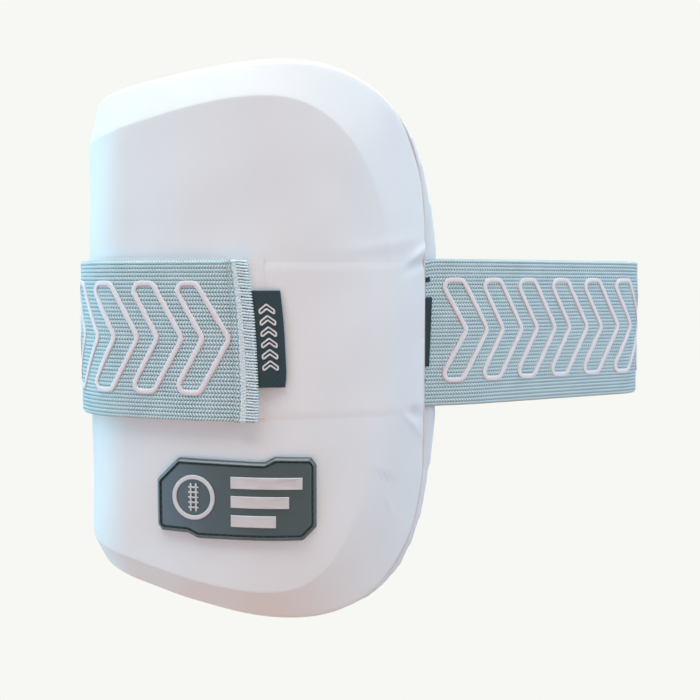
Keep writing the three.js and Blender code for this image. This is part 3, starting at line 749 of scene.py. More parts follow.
# %% [markdown]
# ## The loop band
# A band of loop fabric is sewn across the front, for the strap's hooks to grip. It is one thin cloth that
# follows the front face and runs over the bevel into the right seam, so it is a grid of points on the front's
# heights. Its edges sink into the cover, because the real one lies so flush that only a faint line shows.

# %% Loop band
BAND_FROM, BAND_TO = 1.4, 208.0
BAND_LOW, BAND_HIGH = -37.8, 40.4
BAND_COLUMNS, BAND_ROWS = 190, 60
BAND_THICKNESS, BAND_EDGE, BAND_TUCK = 0.42, 7.0, 0.14
# Columns crowd towards the right seam, and rows, by this share, towards the edges.
BAND_CROWDING, BAND_EASED = 1.15, 0.35


def eased(count):
    """Shares from 0 to 1 that lie closer together towards both ends."""
    return (1 - np.cos(np.linspace(0, math.pi, count))) / 2


def closed_sheet(name, outer, inner):
    """A closed thin sheet from two grids of points with the same rows and columns."""
    columns, rows = outer.shape[:2]
    index = np.arange(columns * rows).reshape(columns, rows)
    quads = np.stack([index[:-1, :-1], index[1:, :-1], index[1:, 1:], index[:-1, 1:]], -1).reshape(-1, 4)
    back = quads[:, ::-1] + columns * rows
    rim = np.concatenate([index[0, :-1], index[:-1, -1], index[-1, :0:-1], index[:0:-1, 0]])
    after = np.roll(rim, -1)
    walls = np.stack([rim, after, after + columns * rows, rim + columns * rows], 1)
    faces = np.concatenate([quads, back, walls]).tolist()
    return mesh_of(name, np.concatenate([outer.reshape(-1, 3), inner.reshape(-1, 3)]), faces)


def band_mesh():
    """The loop band, from the right seam to under the strap."""
    along = BAND_FROM + (BAND_TO - BAND_FROM) * np.linspace(0, 1, BAND_COLUMNS) ** BAND_CROWDING
    share = BAND_EASED * eased(BAND_ROWS) + (1 - BAND_EASED) * np.linspace(0, 1, BAND_ROWS)
    z = BAND_LOW + (BAND_HIGH - BAND_LOW) * share
    grid_along, grid_z = np.meshgrid(along, z, indexing="ij")
    inset = np.minimum(grid_z - BAND_LOW, BAND_HIGH - grid_z)
    inset = np.minimum(inset, BAND_TO - grid_along)
    rise = BAND_THICKNESS * smooth(inset / BAND_EDGE)
    foot = front_lift(grid_along, grid_z) - BAND_TUCK
    outer = pad_place(grid_along, grid_z, foot + rise)
    inner = pad_place(grid_along, grid_z, foot - BAND_TUCK)
    return closed_sheet("loop_band", outer, inner)


loop_band = new_piece("loop_band", band_mesh(), LOOP_FABRIC, "loop_fabric", "loop_panel")

# %% [markdown]
# ## The strap
# The strap is woven elastic, ribbed lengthways and about 75 mm wide. Its way round the wearer is a plan line:
# along the front, round the left corner, along the flap, round the back on one wide bow, round its right end
# and straight back to the seam. A curve drawn by hand would wobble there. Arcs laid end to end keep the line
# smooth, as on the pad. A place on the strap is a run from its front end, a rise from its middle and a height
# out from its inner face.

# %% The strap's way
STRAP_LIFT = 23.1
STRAP_END = 101.2
FLAP_RUN = 22.0
BOW_RADIUS = 250.0
RIGHT_TURN, RIGHT_TURN_RADIUS = np.array([171.0, 162.6]), 27.4
RUN_BEARING, RUN_LENGTH = 47.9, 97.0
ROOT_RADIUS, ROOT_BEARING, ROOT_LENGTH = 80.0, 34.0, 15.4
# The line starts ahead of the strap's end, because the end leans.
WAY_AHEAD = 20.0
WAY_FRONT = (STRAP_END - WAY_AHEAD, FLAT_TO)
FRONT_STATIONS, SHORT_STATIONS, LONG_STATIONS = 120, 60, 200


def arc_points(centre, radius, bearings):
    """Plan points on an arc: x, y and the bearing of the outward side."""
    x = centre[0] + radius * np.sin(bearings)
    y = centre[1] - radius * np.cos(bearings)
    return np.stack([x, y, bearings], 1)


def ahead(station, distance):
    """The station that is further on, straight ahead."""
    x, y, bearing = station
    return np.array([x - distance * math.cos(bearing), y - distance * math.sin(bearing), bearing])


def bearing_of(start, end):
    """Bearing from one plan point to another."""
    return math.atan2(end[0] - start[0], start[1] - end[1])


def bow_centre(turn, turn_radius):
    """Centre of the wide bow that wraps the left turn and the right one."""
    apart = RIGHT_TURN - turn
    gap = np.hypot(*apart)
    to_turn, to_right = BOW_RADIUS - turn_radius, BOW_RADIUS - RIGHT_TURN_RADIUS
    foot = (to_turn**2 - to_right**2 + gap**2) / (2 * gap)
    unit = apart / gap
    return turn + unit * foot + np.array([unit[1], -unit[0]]) * math.sqrt(to_turn**2 - foot**2)


def strap_way():
    """Stations of the plan line from the strap's front end to its root."""
    along = np.linspace(*WAY_FRONT, FRONT_STATIONS)
    arc = np.clip(np.searchsorted(ARC_TO, along, side="right"), 0, FLAT_ARC)
    bearing = ARC_BEARING[arc] - (along - ARC_FROM[arc]) / ARC_RADIUS[arc]
    front = np.column_stack([pad_place(along, 0.0, STRAP_LIFT)[:, :2] / MM, bearing])
    radius = ARC_RADIUS[LEFT_CORNER] + STRAP_LIFT - PAD_THICKNESS
    corner = np.array([ARC_X[LEFT_CORNER], ARC_Y[LEFT_CORNER]])
    corner_from, corner_to = ARC_BEARING[LEFT_CORNER], ARC_BEARING[LEFT_FLAP]
    turn = ahead([*corner, corner_to], FLAP_RUN)[:2]
    bow = bow_centre(turn, radius)
    bow_from, bow_to = bearing_of(bow, turn), bearing_of(bow, RIGHT_TURN) - math.tau
    run_bearing, root_bearing = (math.radians(angle) - math.tau for angle in (RUN_BEARING, ROOT_BEARING))
    right = arc_points(RIGHT_TURN, RIGHT_TURN_RADIUS, np.linspace(bow_to, run_bearing, LONG_STATIONS))
    run_end = ahead(right[-1], RUN_LENGTH)
    bend = run_end[:2] - ROOT_RADIUS * np.array([math.sin(run_bearing), -math.cos(run_bearing)])
    root = arc_points(bend, ROOT_RADIUS, np.linspace(run_bearing, root_bearing, SHORT_STATIONS))
    return np.concatenate([
        front[:-1],
        arc_points(corner, radius, np.linspace(corner_from, corner_to, FRONT_STATIONS)),
        arc_points(turn, radius, np.linspace(corner_to, bow_from, SHORT_STATIONS)),
        arc_points(bow, BOW_RADIUS, np.linspace(bow_from, bow_to, LONG_STATIONS))[1:],
        right[1:],
        root,
        [ahead(root[-1], ROOT_LENGTH)],
    ])


WAY = strap_way()
WAY_RUN = np.concatenate([[0], np.cumsum(np.hypot(*np.diff(WAY[:, :2], axis=0).T))])
WAY_RUN -= np.interp(STRAP_END, np.linspace(*WAY_FRONT, FRONT_STATIONS), WAY_RUN[:FRONT_STATIONS])
STRAP_LENGTH = WAY_RUN[-1]
print("strap length:", round(STRAP_LENGTH, 1), "mm")

# %% [markdown]
# ### Places on the strap
# Near its end the strap leans and its corners are drawn back, and it is pressed down by its own pull. At the
# root the upper edge is gathered into the seam. A lattice could bend a flat strap like that, but one function
# of run, rise and height also serves the hem, the print, the stitches and both labels.

# %% On the strap
STRAP_WIDTH, STRAP_THICKNESS = 74.5, 1.6
# The middle's height on the front, and how far it climbs on the way to the root.
STRAP_MIDDLE, STRAP_CLIMB = 1.3, 1.6
STRAP_LEAN, STRAP_LEAN_RUN = math.tan(math.radians(2.8)), 40.0
FRONT_RUN = WAY_RUN[FRONT_STATIONS - 1]
# How far the root's upper edge is gathered down, and over what length.
ROOT_GATHER, ROOT_GATHER_RUN = 1.7, 8.0
# How far the end's upper and lower corners are drawn back.
END_DRAWN = {"upper": 2.6, "lower": 1.6}
# How far the end is pressed towards the pad, and over what length.
END_PRESSED, END_PRESSED_RUN = 1.5, 30.0


def on_strap(x, y, height):
    """A flat place on the strap: X runs against the run from its end, Y is the rise from its middle."""
    fade = np.clip(1 + x / STRAP_LEAN_RUN, 0, 1)
    rise = y * 2 / STRAP_WIDTH
    drawn = END_DRAWN["upper"] * np.clip(rise, 0, 1) ** 2 + END_DRAWN["lower"] * np.clip(-rise, 0, 1) ** 4
    run = -x + (y * STRAP_LEAN + drawn) * fade
    bearing = np.interp(run, WAY_RUN, WAY[:, 2])
    middle = STRAP_MIDDLE + STRAP_CLIMB * smooth((run - FRONT_RUN) / (STRAP_LENGTH - FRONT_RUN))
    gather = ROOT_GATHER * np.clip(1 - (STRAP_LENGTH - run) / ROOT_GATHER_RUN, 0, 1) ** 2
    gather = gather * np.clip(rise, 0, 1) ** 2
    height = height - END_PRESSED * smooth(1 + x / END_PRESSED_RUN)
    plan_x = np.interp(run, WAY_RUN, WAY[:, 0]) + height * np.sin(bearing)
    plan_y = np.interp(run, WAY_RUN, WAY[:, 1]) - height * np.cos(bearing)
    return np.stack([plan_x, plan_y, middle + y - gather], -1) * MM


print("strap on the front:", round(FRONT_RUN, 1), "mm of its length")

# %% [markdown]
# ### Ribbed elastic
# Woven elastic has thick warp ribs with thin grooves between, and a zigzag of light yarn over each rib,
# slanting the other way on the next. To the eye that is pale blue ribs with a fine herringbone. The ribs are
# real relief, and the finish also paints shade into the grooves, darkening each rib towards its edges. The
# zigzag is 1.5 mm long, and is drawn by the finish from the strap's flat places: a rib number, a place across
# the rib, and a slanted stripe. Each is a short row of sums, so they stand in a table.

# %% Elastic finish
RIBS = 40
RIB_PITCH = STRAP_WIDTH / RIBS
YARN_PITCH, YARN_DEPTH = 1.5, 0.25
ELASTIC_PATCH = 9.0
# Tones from the painted shade in the grooves to the light yarn, with their places on the ramp.
ELASTIC_TONES_WITH_GROOVE_SHADE = ((0.12, "#6D939D"), (0.48, "#B6D2DA"), (0.9, "#E7F1F5"))
ELASTIC_SURFACE = {"Roughness": 0.82, "Sheen Weight": 0.15, "Specular IOR Level": 0.2}


def elastic_finish():
    """Ribbed elastic: painted shade in the grooves, pale ribs and a light zigzag of yarn."""
    material, tree, surface = new_finish("ribbed woven elastic", ELASTIC_SURFACE)
    flat = add_node(tree, "ShaderNodeUVMap", uv_map="flat").outputs[0]
    split = add_node(tree, "ShaderNodeSeparateXYZ", {0: flat}).outputs
    noise = {"Vector": flat, "Scale": 1 / (ELASTIC_PATCH * MM), "Detail": 2.0}
    patch = add_node(tree, "ShaderNodeTexNoise", noise).outputs["Fac"]
    made = {"x": split["X"], "y": split["Y"], "patch": patch}
    steps = (
        ("ribs", "MULTIPLY_ADD", "y", 1 / (RIB_PITCH * MM), RIBS / 2),
        ("number", "FLOOR", "ribs"),
        ("odd", "MODULO", "number", 2.0),
        ("way", "MULTIPLY_ADD", "odd", 2.0, -1.0),
        ("across", "FRACT", "ribs"),
        ("aside", "SUBTRACT", "across", 0.5),
        ("slant", "MULTIPLY", "aside", "way"),
        ("strands", "MULTIPLY_ADD", "x", 1 / (YARN_PITCH * MM), "slant"),
        ("strand", "PINGPONG", "strands", 0.5),
        ("sharp", "MULTIPLY_ADD", "strand", 3.4, -0.35),
        ("below one", "MINIMUM", "sharp", 1.0),
        ("yarn", "MAXIMUM", "below one", 0.0),
        # painted shade: the crown darkens the tone from each rib's middle towards the grooves
        ("arch", "MULTIPLY", "across", math.pi),
        ("crown", "SINE", "arch"),
        ("round", "POWER", "crown", 0.5),
        ("lit yarn", "MULTIPLY_ADD", "yarn", 0.75, 0.3),
        ("weave", "MULTIPLY", "round", "lit yarn"),
        ("mottled", "MULTIPLY_ADD", "patch", 0.25, "weave"),
        ("light", "SUBTRACT", "mottled", 0.125),
    )
    for name, operation, *terms in steps:
        inputs = {index: made.get(term, term) for index, term in enumerate(terms)}
        made[name] = add_node(tree, "ShaderNodeMath", inputs, operation=operation).outputs[0]
    ramp = add_node(tree, "ShaderNodeValToRGB", {"Fac": made["light"]})
    stops = ramp.color_ramp.elements
    stops.new(0.5)  # a third stop between the two that a ramp starts with
    for stop, (position, colour) in zip(stops, ELASTIC_TONES_WITH_GROOVE_SHADE):
        stop.position, stop.color = position, linear(colour)
    raised = {"Height": made["yarn"], "Strength": 0.6, "Distance": YARN_DEPTH * MM}
    set_inputs(tree, surface, {"Base Color": ramp, "Normal": add_node(tree, "ShaderNodeBump", raised)})
    return material


ELASTIC = elastic_finish()
print(ELASTIC.name, "with", RIBS, "ribs of", round(RIB_PITCH, 2), "mm")

# %% [markdown]
# ### The band
# A tree sweeps one ribbed section along a straight line. The section is two rows of points, outer and inner,
# that meet at the strap's edges. Ribs could be bump alone, but then the strap's edge and its outline would be
# smooth. The result is laid on the strap's way afterwards, and the hem uses the same tree.

# %% Ribbed band
RIB_DEPTH = 0.36
STRAP_STEPS = 300
MERGED = 1e-6


def ribbed_band_tree():
    tree, sizes, out = new_tree("ribbed band", ("Length", "Width", "Thickness", "Depth"), ("Ribs", "Steps"))

    def face(points_a_rib, side):
        """One side of the section, from edge to edge, as a line of edges."""
        place = add_node(tree, "GeometryNodeInputPosition")
        made = {size.name: size for size in sizes}
        made["rise"] = add_node(tree, "ShaderNodeSeparateXYZ", {0: place}).outputs["X"]
        steps = (
            ("half", "MULTIPLY", "Width", 0.5),
            ("other half", "MULTIPLY", "half", -1.0),
            ("spaces", "MULTIPLY", "Ribs", points_a_rib),
            ("count", "ADD", "spaces", 1.0),
            ("from edge", "ADD", "rise", "half"),
            ("share", "DIVIDE", "from edge", "Width"),
            ("ribs", "MULTIPLY", "share", "Ribs"),
            ("turn", "MULTIPLY", "ribs", math.pi),
            ("sine", "SINE", "turn"),
            ("wave", "ABSOLUTE", "sine"),
            ("crown", "POWER", "wave", 0.6),
            ("rib", "MULTIPLY", "crown", "Depth"),
            ("off middle", "ABSOLUTE", "rise"),
            ("to edge", "SUBTRACT", "half", "off middle"),
            ("rounding", "MULTIPLY", "Thickness", 0.6),
            ("edge share", "DIVIDE", "to edge", "rounding"),
            ("below one", "MINIMUM", "edge share", 1.0),
            ("rounded", "SQRT", "below one"),
            ("middle", "MULTIPLY", "Thickness", 0.5),
            ("flat", "SUBTRACT", "middle", "Depth"),
            ("thick", "ADD", "flat", "rib"),
            ("swell", "MULTIPLY", "thick", "rounded"),
            ("height", "MULTIPLY_ADD", "swell", side, "middle"),
            ("down", "MULTIPLY", "height", -1.0),
        )
        for name, operation, *terms in steps:
            inputs = {index: made.get(term, term) for index, term in enumerate(terms)}
            made[name] = add_node(tree, "ShaderNodeMath", inputs, operation=operation).outputs[0]
        start = add_node(tree, "ShaderNodeCombineXYZ", {"X": made["other half"]})
        end = add_node(tree, "ShaderNodeCombineXYZ", {"X": made["half"]})
        line = add_node(tree, "GeometryNodeCurvePrimitiveLine", {"Start": start, "End": end})
        fine = add_node(tree, "GeometryNodeResampleCurve", {"Curve": line, "Count": made["count"]})
        moved = add_node(tree, "ShaderNodeCombineXYZ", {"X": made["rise"], "Y": made["down"]})
        shaped = add_node(tree, "GeometryNodeSetPosition", {"Geometry": fine, "Position": moved})
        return add_node(tree, "GeometryNodeCurveToMesh", {"Curve": shaped})

    both = add_node(tree, "GeometryNodeJoinGeometry")
    set_inputs(tree, both, {0: face(points_a_rib=4.0, side=1.0)})
    set_inputs(tree, both, {0: face(points_a_rib=2.0, side=-1.0)})
    closed = add_node(tree, "GeometryNodeMergeByDistance", {"Geometry": both, "Distance": MERGED})
    section = add_node(tree, "GeometryNodeMeshToCurve", {"Mesh": closed})
    back = add_node(tree, "ShaderNodeMath", {0: sizes["Length"], 1: -1.0}, operation="MULTIPLY")
    far = add_node(tree, "ShaderNodeCombineXYZ", {"X": back})
    line = add_node(tree, "GeometryNodeCurvePrimitiveLine", {"End": far})
    path = add_node(tree, "GeometryNodeResampleCurve", {"Curve": line, "Count": sizes["Steps"]})
    swept = {"Curve": path, "Profile Curve": section, "Fill Caps": True}
    return end_tree(tree, out, add_node(tree, "GeometryNodeCurveToMesh", swept), ELASTIC)


BAND_TREE = ribbed_band_tree()
flat_strap = made_flat(
    BAND_TREE, Length=STRAP_LENGTH, Width=STRAP_WIDTH, Thickness=STRAP_THICKNESS, Depth=RIB_DEPTH,
    Ribs=RIBS, Steps=STRAP_STEPS,
)
strap = new_piece("strap_band", laid(flat_strap, on_strap), ELASTIC, "elastic", "strap")

# %% [markdown]
# ### The printed pattern
# A raised print runs along the strap: plain chevrons in outline. Puff print is ink that swells when it is
# heated, so to the eye it is a soft, matt, slightly grainy ridge. It could be drawn by the elastic's finish,
# but a ridge has an edge that catches light, so it is real. A tree takes one outline, rounds its corners,
# gives it a flat stroke and repeats it along the strap.

# %% Print
PRINT_STROKE, PRINT_HEIGHT = 2.3, 0.9
PRINT_CORNER, PRINT_STEP = 3.5, 1.2
PRINT_FIRST, PRINT_LAST, PRINT_COUNT = 25.5, 625.0, 27
PRINT_PITCH = (PRINT_LAST - PRINT_FIRST) / (PRINT_COUNT - 1)
PRINT_RISE = 1.2
STROKE_ROUNDING = 0.3
PUFF_GRAIN, PUFF_DEPTH = 0.9, 0.15
CHEVRON = {"half_height": 25.5, "arm": 12.6, "tip": 15.0}


def print_finish():
    """Puff print: matt, with a fine grain in its tone and its relief."""
    material, tree, surface = new_finish("raised puff print", {"Roughness": 0.6})
    _, grain = mottled(tree, surface, "#F3EDF1", "#DCD3D9", PUFF_GRAIN, detail=2.0)
    raised = {"Height": grain, "Strength": 0.3, "Distance": PUFF_DEPTH * MM}
    set_inputs(tree, surface, {"Normal": add_node(tree, "ShaderNodeBump", raised)})
    return material


PUFF_PRINT = print_finish()


def chevron(half_height, arm, tip):
    """Corners of a chevron that points along X, round its middle."""
    back = -(arm + tip) / 2
    return [
        (back, half_height, 0), (back + tip, 0, 0), (back, -half_height, 0),
        (back + arm, -half_height, 0), (back + arm + tip, 0, 0), (back + arm, half_height, 0),
    ]


def print_tree():
    tree, sizes, out = new_tree("outline print", ("Pitch", "Stroke", "Height", "Corner", "Step"), ("Count",))
    flat_stroke = {"Width": sizes["Stroke"], "Height": sizes["Height"]}
    square = add_node(tree, "GeometryNodeCurvePrimitiveQuadrilateral", flat_stroke)
    corners = {"Curve": square, "Count": 2, "Radius": STROKE_ROUNDING * MM}
    stroke = add_node(tree, "GeometryNodeFilletCurve", corners, mode="POLY")
    outline = add_node(tree, "GeometryNodeMeshToCurve", {"Mesh": sizes["Path"]})
    corners = {"Curve": outline, "Count": 5, "Radius": sizes["Corner"]}
    rounded = add_node(tree, "GeometryNodeFilletCurve", corners, mode="POLY")
    fine_steps = {"Curve": rounded, "Length": sizes["Step"]}
    fine = add_node(tree, "GeometryNodeResampleCurve", fine_steps, mode="LENGTH")
    level = add_node(tree, "GeometryNodeSetCurveNormal", {"Curve": fine}, mode="Z_UP")
    line = add_node(tree, "GeometryNodeCurveToMesh", {"Curve": level, "Profile Curve": stroke})
    back = add_node(tree, "ShaderNodeMath", {0: sizes["Pitch"], 1: -1.0}, operation="MULTIPLY")
    offset = add_node(tree, "ShaderNodeCombineXYZ", {"X": back})
    places = add_node(tree, "GeometryNodeMeshLine", {"Count": sizes["Count"], "Offset": offset})
    row = add_node(tree, "GeometryNodeInstanceOnPoints", {"Points": places, "Instance": line})
    return end_tree(tree, out, row, PUFF_PRINT)


def on_print(x, y, height):
    return on_strap(x - PRINT_FIRST, y + PRINT_RISE, STRAP_THICKNESS + height)


PRINT_TREE = print_tree()
flat_print = made_flat(
    PRINT_TREE, path_mesh(chevron(**CHEVRON), closed=True), Count=PRINT_COUNT, Pitch=PRINT_PITCH,
    Stroke=PRINT_STROKE, Height=PRINT_HEIGHT, Corner=PRINT_CORNER, Step=PRINT_STEP,
)
strap_print = new_piece("strap_print", laid(flat_print, on_print), PUFF_PRINT, "elastic")

# %% [markdown]
# ### The hem
# The strap's front end is folded over and overlocked. The fold is one more short ribbed band on top, and the
# overlock is a row of thread loops over the cut edge. Particles could scatter the loops, but a sewing machine
# sets them in a row, so a tree makes one loop from a bent thread and repeats it along the edge, each turned
# and sized a little differently. Spun polyester thread is matt and a little uneven in tone.

# %% Hem and overlock
HEM_LENGTH, HEM_THICKNESS, HEM_RIB_DEPTH = 9.4, 1.1, 0.3
HEM_PROUD, HEM_SINK, HEM_STEPS = 0.5, 0.15, 14
OVERLOCK_COUNT = 56
OVERLOCK_PITCH = STRAP_WIDTH / OVERLOCK_COUNT
OVERLOCK_REACH, OVERLOCK_OUT = 4.4, 0.1
THREAD, THREAD_TWIST = 0.43, 0.8
# A loop's bent thread, from under the edge to over it: its start and its two handles, and its end's Y and Z.
LOOP_START, LOOP_RISE, LOOP_FALL = (0.2, 0.0, -1.5), (1.2, 0.0, 1.3), (-0.9, 0.1, 1.5)
LOOP_END = (0.5, 1.0)
# Each loop's turn either way in radians, its smallest and largest size, and the seeds of the two.
LOOP_TURN, LOOP_SMALL, LOOP_LARGE = 0.05, 0.94, 1.06
TURN_SEED, SIZE_SEED = 3, 5


def thread_finish(name, light, shade):
    """Spun thread: matt, with a tone that changes along its twist."""
    material, tree, surface = new_finish(name, {"Roughness": 0.7, "Sheen Weight": 0.2})
    mottled(tree, surface, light, shade, THREAD_TWIST, detail=1.0)
    return material


PALE_THREAD = thread_finish("pale blue sewing thread", "#F2F8FA", "#C4DBE4")


def overlock_tree():
    tree, sizes, out = new_tree("overlock loops", ("Pitch", "Radius", "Reach"), ("Count",))
    inwards = add_node(tree, "ShaderNodeMath", {0: sizes["Reach"], 1: -1.0}, operation="MULTIPLY")
    end = add_node(tree, "ShaderNodeCombineXYZ", {"X": inwards, "Y": LOOP_END[0] * MM, "Z": LOOP_END[1] * MM})
    bends = {"Start": LOOP_START, "Start Handle": LOOP_RISE, "End Handle": LOOP_FALL}
    bends = {name: [value * MM for value in point] for name, point in bends.items()}
    bent = add_node(tree, "GeometryNodeCurvePrimitiveBezierSegment", {"Resolution": 9, **bends, "End": end})
    section = add_node(tree, "GeometryNodeCurvePrimitiveCircle", {"Resolution": 6, "Radius": sizes["Radius"]})
    swept = {"Curve": bent, "Profile Curve": section, "Fill Caps": True}
    loop = add_node(tree, "GeometryNodeCurveToMesh", swept)
    offset = add_node(tree, "ShaderNodeCombineXYZ", {"Y": sizes["Pitch"]})
    places = add_node(tree, "GeometryNodeMeshLine", {"Count": sizes["Count"], "Offset": offset})
    either_way = {2: -LOOP_TURN, 3: LOOP_TURN, "Seed": TURN_SEED}
    turn = add_node(tree, "FunctionNodeRandomValue", either_way, data_type="FLOAT").outputs[1]
    turns = add_node(tree, "ShaderNodeCombineXYZ", {"Z": turn})
    small_to_large = {2: LOOP_SMALL, 3: LOOP_LARGE, "Seed": SIZE_SEED}
    size = add_node(tree, "FunctionNodeRandomValue", small_to_large, data_type="FLOAT").outputs[1]
    copies = {"Points": places, "Instance": loop, "Rotation": turns, "Scale": size}
    return end_tree(tree, out, add_node(tree, "GeometryNodeInstanceOnPoints", copies), PALE_THREAD)


def on_hem(x, y, height):
    return on_strap(x, y, STRAP_THICKNESS - HEM_SINK + height)


def on_overlock(x, y, height):
    return on_strap(x + OVERLOCK_OUT, y + (OVERLOCK_PITCH - STRAP_WIDTH) / 2, STRAP_THICKNESS + height)


flat_hem = made_flat(
    BAND_TREE, Length=HEM_LENGTH, Width=STRAP_WIDTH + HEM_PROUD, Thickness=HEM_THICKNESS, Depth=HEM_RIB_DEPTH,
    Ribs=RIBS, Steps=HEM_STEPS,
)
strap_hem = new_piece("strap_hem", laid(flat_hem, on_hem), ELASTIC, "elastic")
flat_loops = made_flat(
    overlock_tree(), Count=OVERLOCK_COUNT, Pitch=OVERLOCK_PITCH, Radius=THREAD, Reach=OVERLOCK_REACH
)
overlock = new_piece("hem_overlock", laid(flat_loops, on_overlock), PALE_THREAD, "elastic")

# %% [markdown]
# ### Rows of stitches
# Rows of plain stitches hold the hem and the badge. On the hem four rows lie side by side, so they look like
# one soft light band. An array modifier could repeat a stitch along a line, but not round the badge, so one
# tree makes them all: it walks along a path in equal steps and sets a short bent thread at each, turned along
# the path.

# %% Stitch rows
STITCH_SMALL, STITCH_LARGE, STITCH_SEED = 0.9, 1.08, 11
# Rows of the hem: inset from the strap's end, and stitch length.
HEM_ROWS = ((4.7, 1.3), (5.3, 1.6), (5.9, 1.4), (6.5, 1.5))
HEM_THREAD, HEM_STITCH_RISE, STITCH_OVERLAP = 0.36, 0.3, 0.1
HEM_ROW_INSET = 0.8
HALF_HEM = STRAP_WIDTH / 2 - HEM_ROW_INSET


def stitch_tree():
    tree, sizes, out = new_tree("stitch row", ("Pitch", "Length", "Radius", "Rise"))
    half = add_node(tree, "ShaderNodeMath", {0: sizes["Length"], 1: 0.5}, operation="MULTIPLY")
    back = add_node(tree, "ShaderNodeMath", {0: half, 1: -1.0}, operation="MULTIPLY")
    sink = add_node(tree, "ShaderNodeMath", {0: sizes["Rise"], 1: -1.0}, operation="MULTIPLY")
    bends = {"Start": (back, sink), "Start Handle": (back, sizes["Rise"])}
    bends |= {"End Handle": (half, sizes["Rise"]), "End": (half, sink)}
    corners = {"Resolution": 7}
    for name, (x, z) in bends.items():
        corners[name] = add_node(tree, "ShaderNodeCombineXYZ", {"X": x, "Z": z})
    bent = add_node(tree, "GeometryNodeCurvePrimitiveBezierSegment", corners)
    section = add_node(tree, "GeometryNodeCurvePrimitiveCircle", {"Resolution": 6, "Radius": sizes["Radius"]})
    swept = {"Curve": bent, "Profile Curve": section, "Fill Caps": True}
    stitch = add_node(tree, "GeometryNodeCurveToMesh", swept)
    line = add_node(tree, "GeometryNodeMeshToCurve", {"Mesh": sizes["Path"]})
    equal_steps = {"Curve": line, "Length": sizes["Pitch"]}
    steps = add_node(tree, "GeometryNodeCurveToPoints", equal_steps, mode="LENGTH").outputs
    along_path = {"Vector": steps["Tangent"]}
    turn = add_node(tree, "FunctionNodeAlignRotationToVector", along_path, axis="X", pivot_axis="Z")
    small_to_large = {2: STITCH_SMALL, 3: STITCH_LARGE, "Seed": STITCH_SEED}
    size = add_node(tree, "FunctionNodeRandomValue", small_to_large, data_type="FLOAT").outputs[1]
    copies = {"Points": steps["Points"], "Instance": stitch, "Rotation": turn, "Scale": size}
    return end_tree(tree, out, add_node(tree, "GeometryNodeInstanceOnPoints", copies), PALE_THREAD)


STITCH_TREE = stitch_tree()


def stitched(points, place, **sizes):
    """Stitches along a flat path in millimetres, laid in their place."""
    return laid(made_flat(STITCH_TREE, path_mesh(points), **sizes), place)


hem_rows = [
    stitched(
        [(-inset, -HALF_HEM, HEM_THICKNESS), (-inset, HALF_HEM, HEM_THICKNESS)], on_hem,
        Pitch=length, Length=length + STITCH_OVERLAP, Radius=HEM_THREAD, Rise=HEM_STITCH_RISE,
    )
    for inset, length in HEM_ROWS
]
hem_stitches = new_piece("hem_stitches", joined("hem_stitches", hem_rows), PALE_THREAD, "elastic")

# %% [markdown]
# ## Hook tape
# Under the strap's front end lies a piece of white hook tape. To the eye it is a dull, coarse-grained nylon,
# because its hooks are too small to see. It is cut square while the strap's end leans, so one corner shows. A
# plain slab would read as a frame round that corner, so it is a grid over the pad's heights, like the loop
# band, and thins towards its free edge.

# %% Hook tape
HOOK_FROM, HOOK_TO = 97.3, 191.6
HOOK_LOW, HOOK_HIGH = -34.4, 39.8
HOOK_FOOT, HOOK_THICKNESS = 1.85, 0.9
HOOK_COLUMNS, HOOK_ROWS, HOOK_CROWDING = 90, 70, 1.8
# The free edge is thinner: its share of the thickness, and how far that reaches in.
HOOK_THIN, HOOK_THIN_RUN = 0.3, 6.0
HOOK_TAPE = knit_finish("nylon hook tape", "#EFF0F3", "#E8EAEE", roughness=0.6, strength=1.0)


def hook_mesh():
    """The hook tape, between the loop band and the strap."""
    along = HOOK_FROM + (HOOK_TO - HOOK_FROM) * np.linspace(0, 1, HOOK_COLUMNS) ** HOOK_CROWDING
    z = HOOK_LOW + (HOOK_HIGH - HOOK_LOW) * eased(HOOK_ROWS)
    grid_along, grid_z = np.meshgrid(along, z, indexing="ij")
    foot = HOOK_FOOT - END_PRESSED * smooth(1 - (grid_along - STRAP_END) / END_PRESSED_RUN)
    thin = HOOK_THIN + (1 - HOOK_THIN) * smooth((grid_along - HOOK_FROM) / HOOK_THIN_RUN)
    outer = on_pad(-grid_along, grid_z, foot + HOOK_THICKNESS * thin)
    inner = on_pad(-grid_along, grid_z, foot)
    return closed_sheet("hook_strip", outer, inner)


hook_strip = new_piece("hook_strip", hook_mesh(), HOOK_TAPE, "hook_tape", "hook_tape")

# %% [markdown]
# ## The pull label
# A dark woven label is sewn into the strap's end, and hangs out of the hem for the fingers. Label tape is a
# dense, dull diagonal weave, and its white marks are woven in; a highlight is painted along its free edge. It
# is too small and stiff to be worth a simulation, so it is a grid whose points droop towards the pad at the
# free end and bow a little. Its marks use the print's tree at a small size.

# %% Pull label
LABEL_LENGTH, LABEL_THICKNESS = 14.4, 0.8
LABEL_LOW, LABEL_HIGH = -20.0, 24.6
# The label is measured from this far past the strap's end, and starts this far back from there.
LABEL_OUT, LABEL_UNDER = 1.2, 3.0
LABEL_TIP = LABEL_LENGTH - LABEL_OUT
LABEL_LEVEL, LABEL_DROOP, LABEL_BOW = 0.6, 1.5, 0.35
LABEL_EDGE_HIGHLIGHT = 0.4
LABEL_COLUMNS, LABEL_ROWS = 30, 90
LABEL_CORNER = {"from": -11.0, "run": 9.0, "drawn": 1.0}
LABEL_MARKS = {"out": 5.6, "rise": 16.0, "pitch": 5.2, "count": 6}
LABEL_CHEVRON = {"half_height": 3.4, "arm": 2.0, "tip": 2.6}
# A wave texture's diagonal stripes repeat every 0.63 units, so a unit of 3.2 mm draws one every 2 mm along
# the label. A real label's stripes are finer, but wouldn't show.
WEAVE_UNIT, WEAVE_DEPTH = 3.2, 0.15


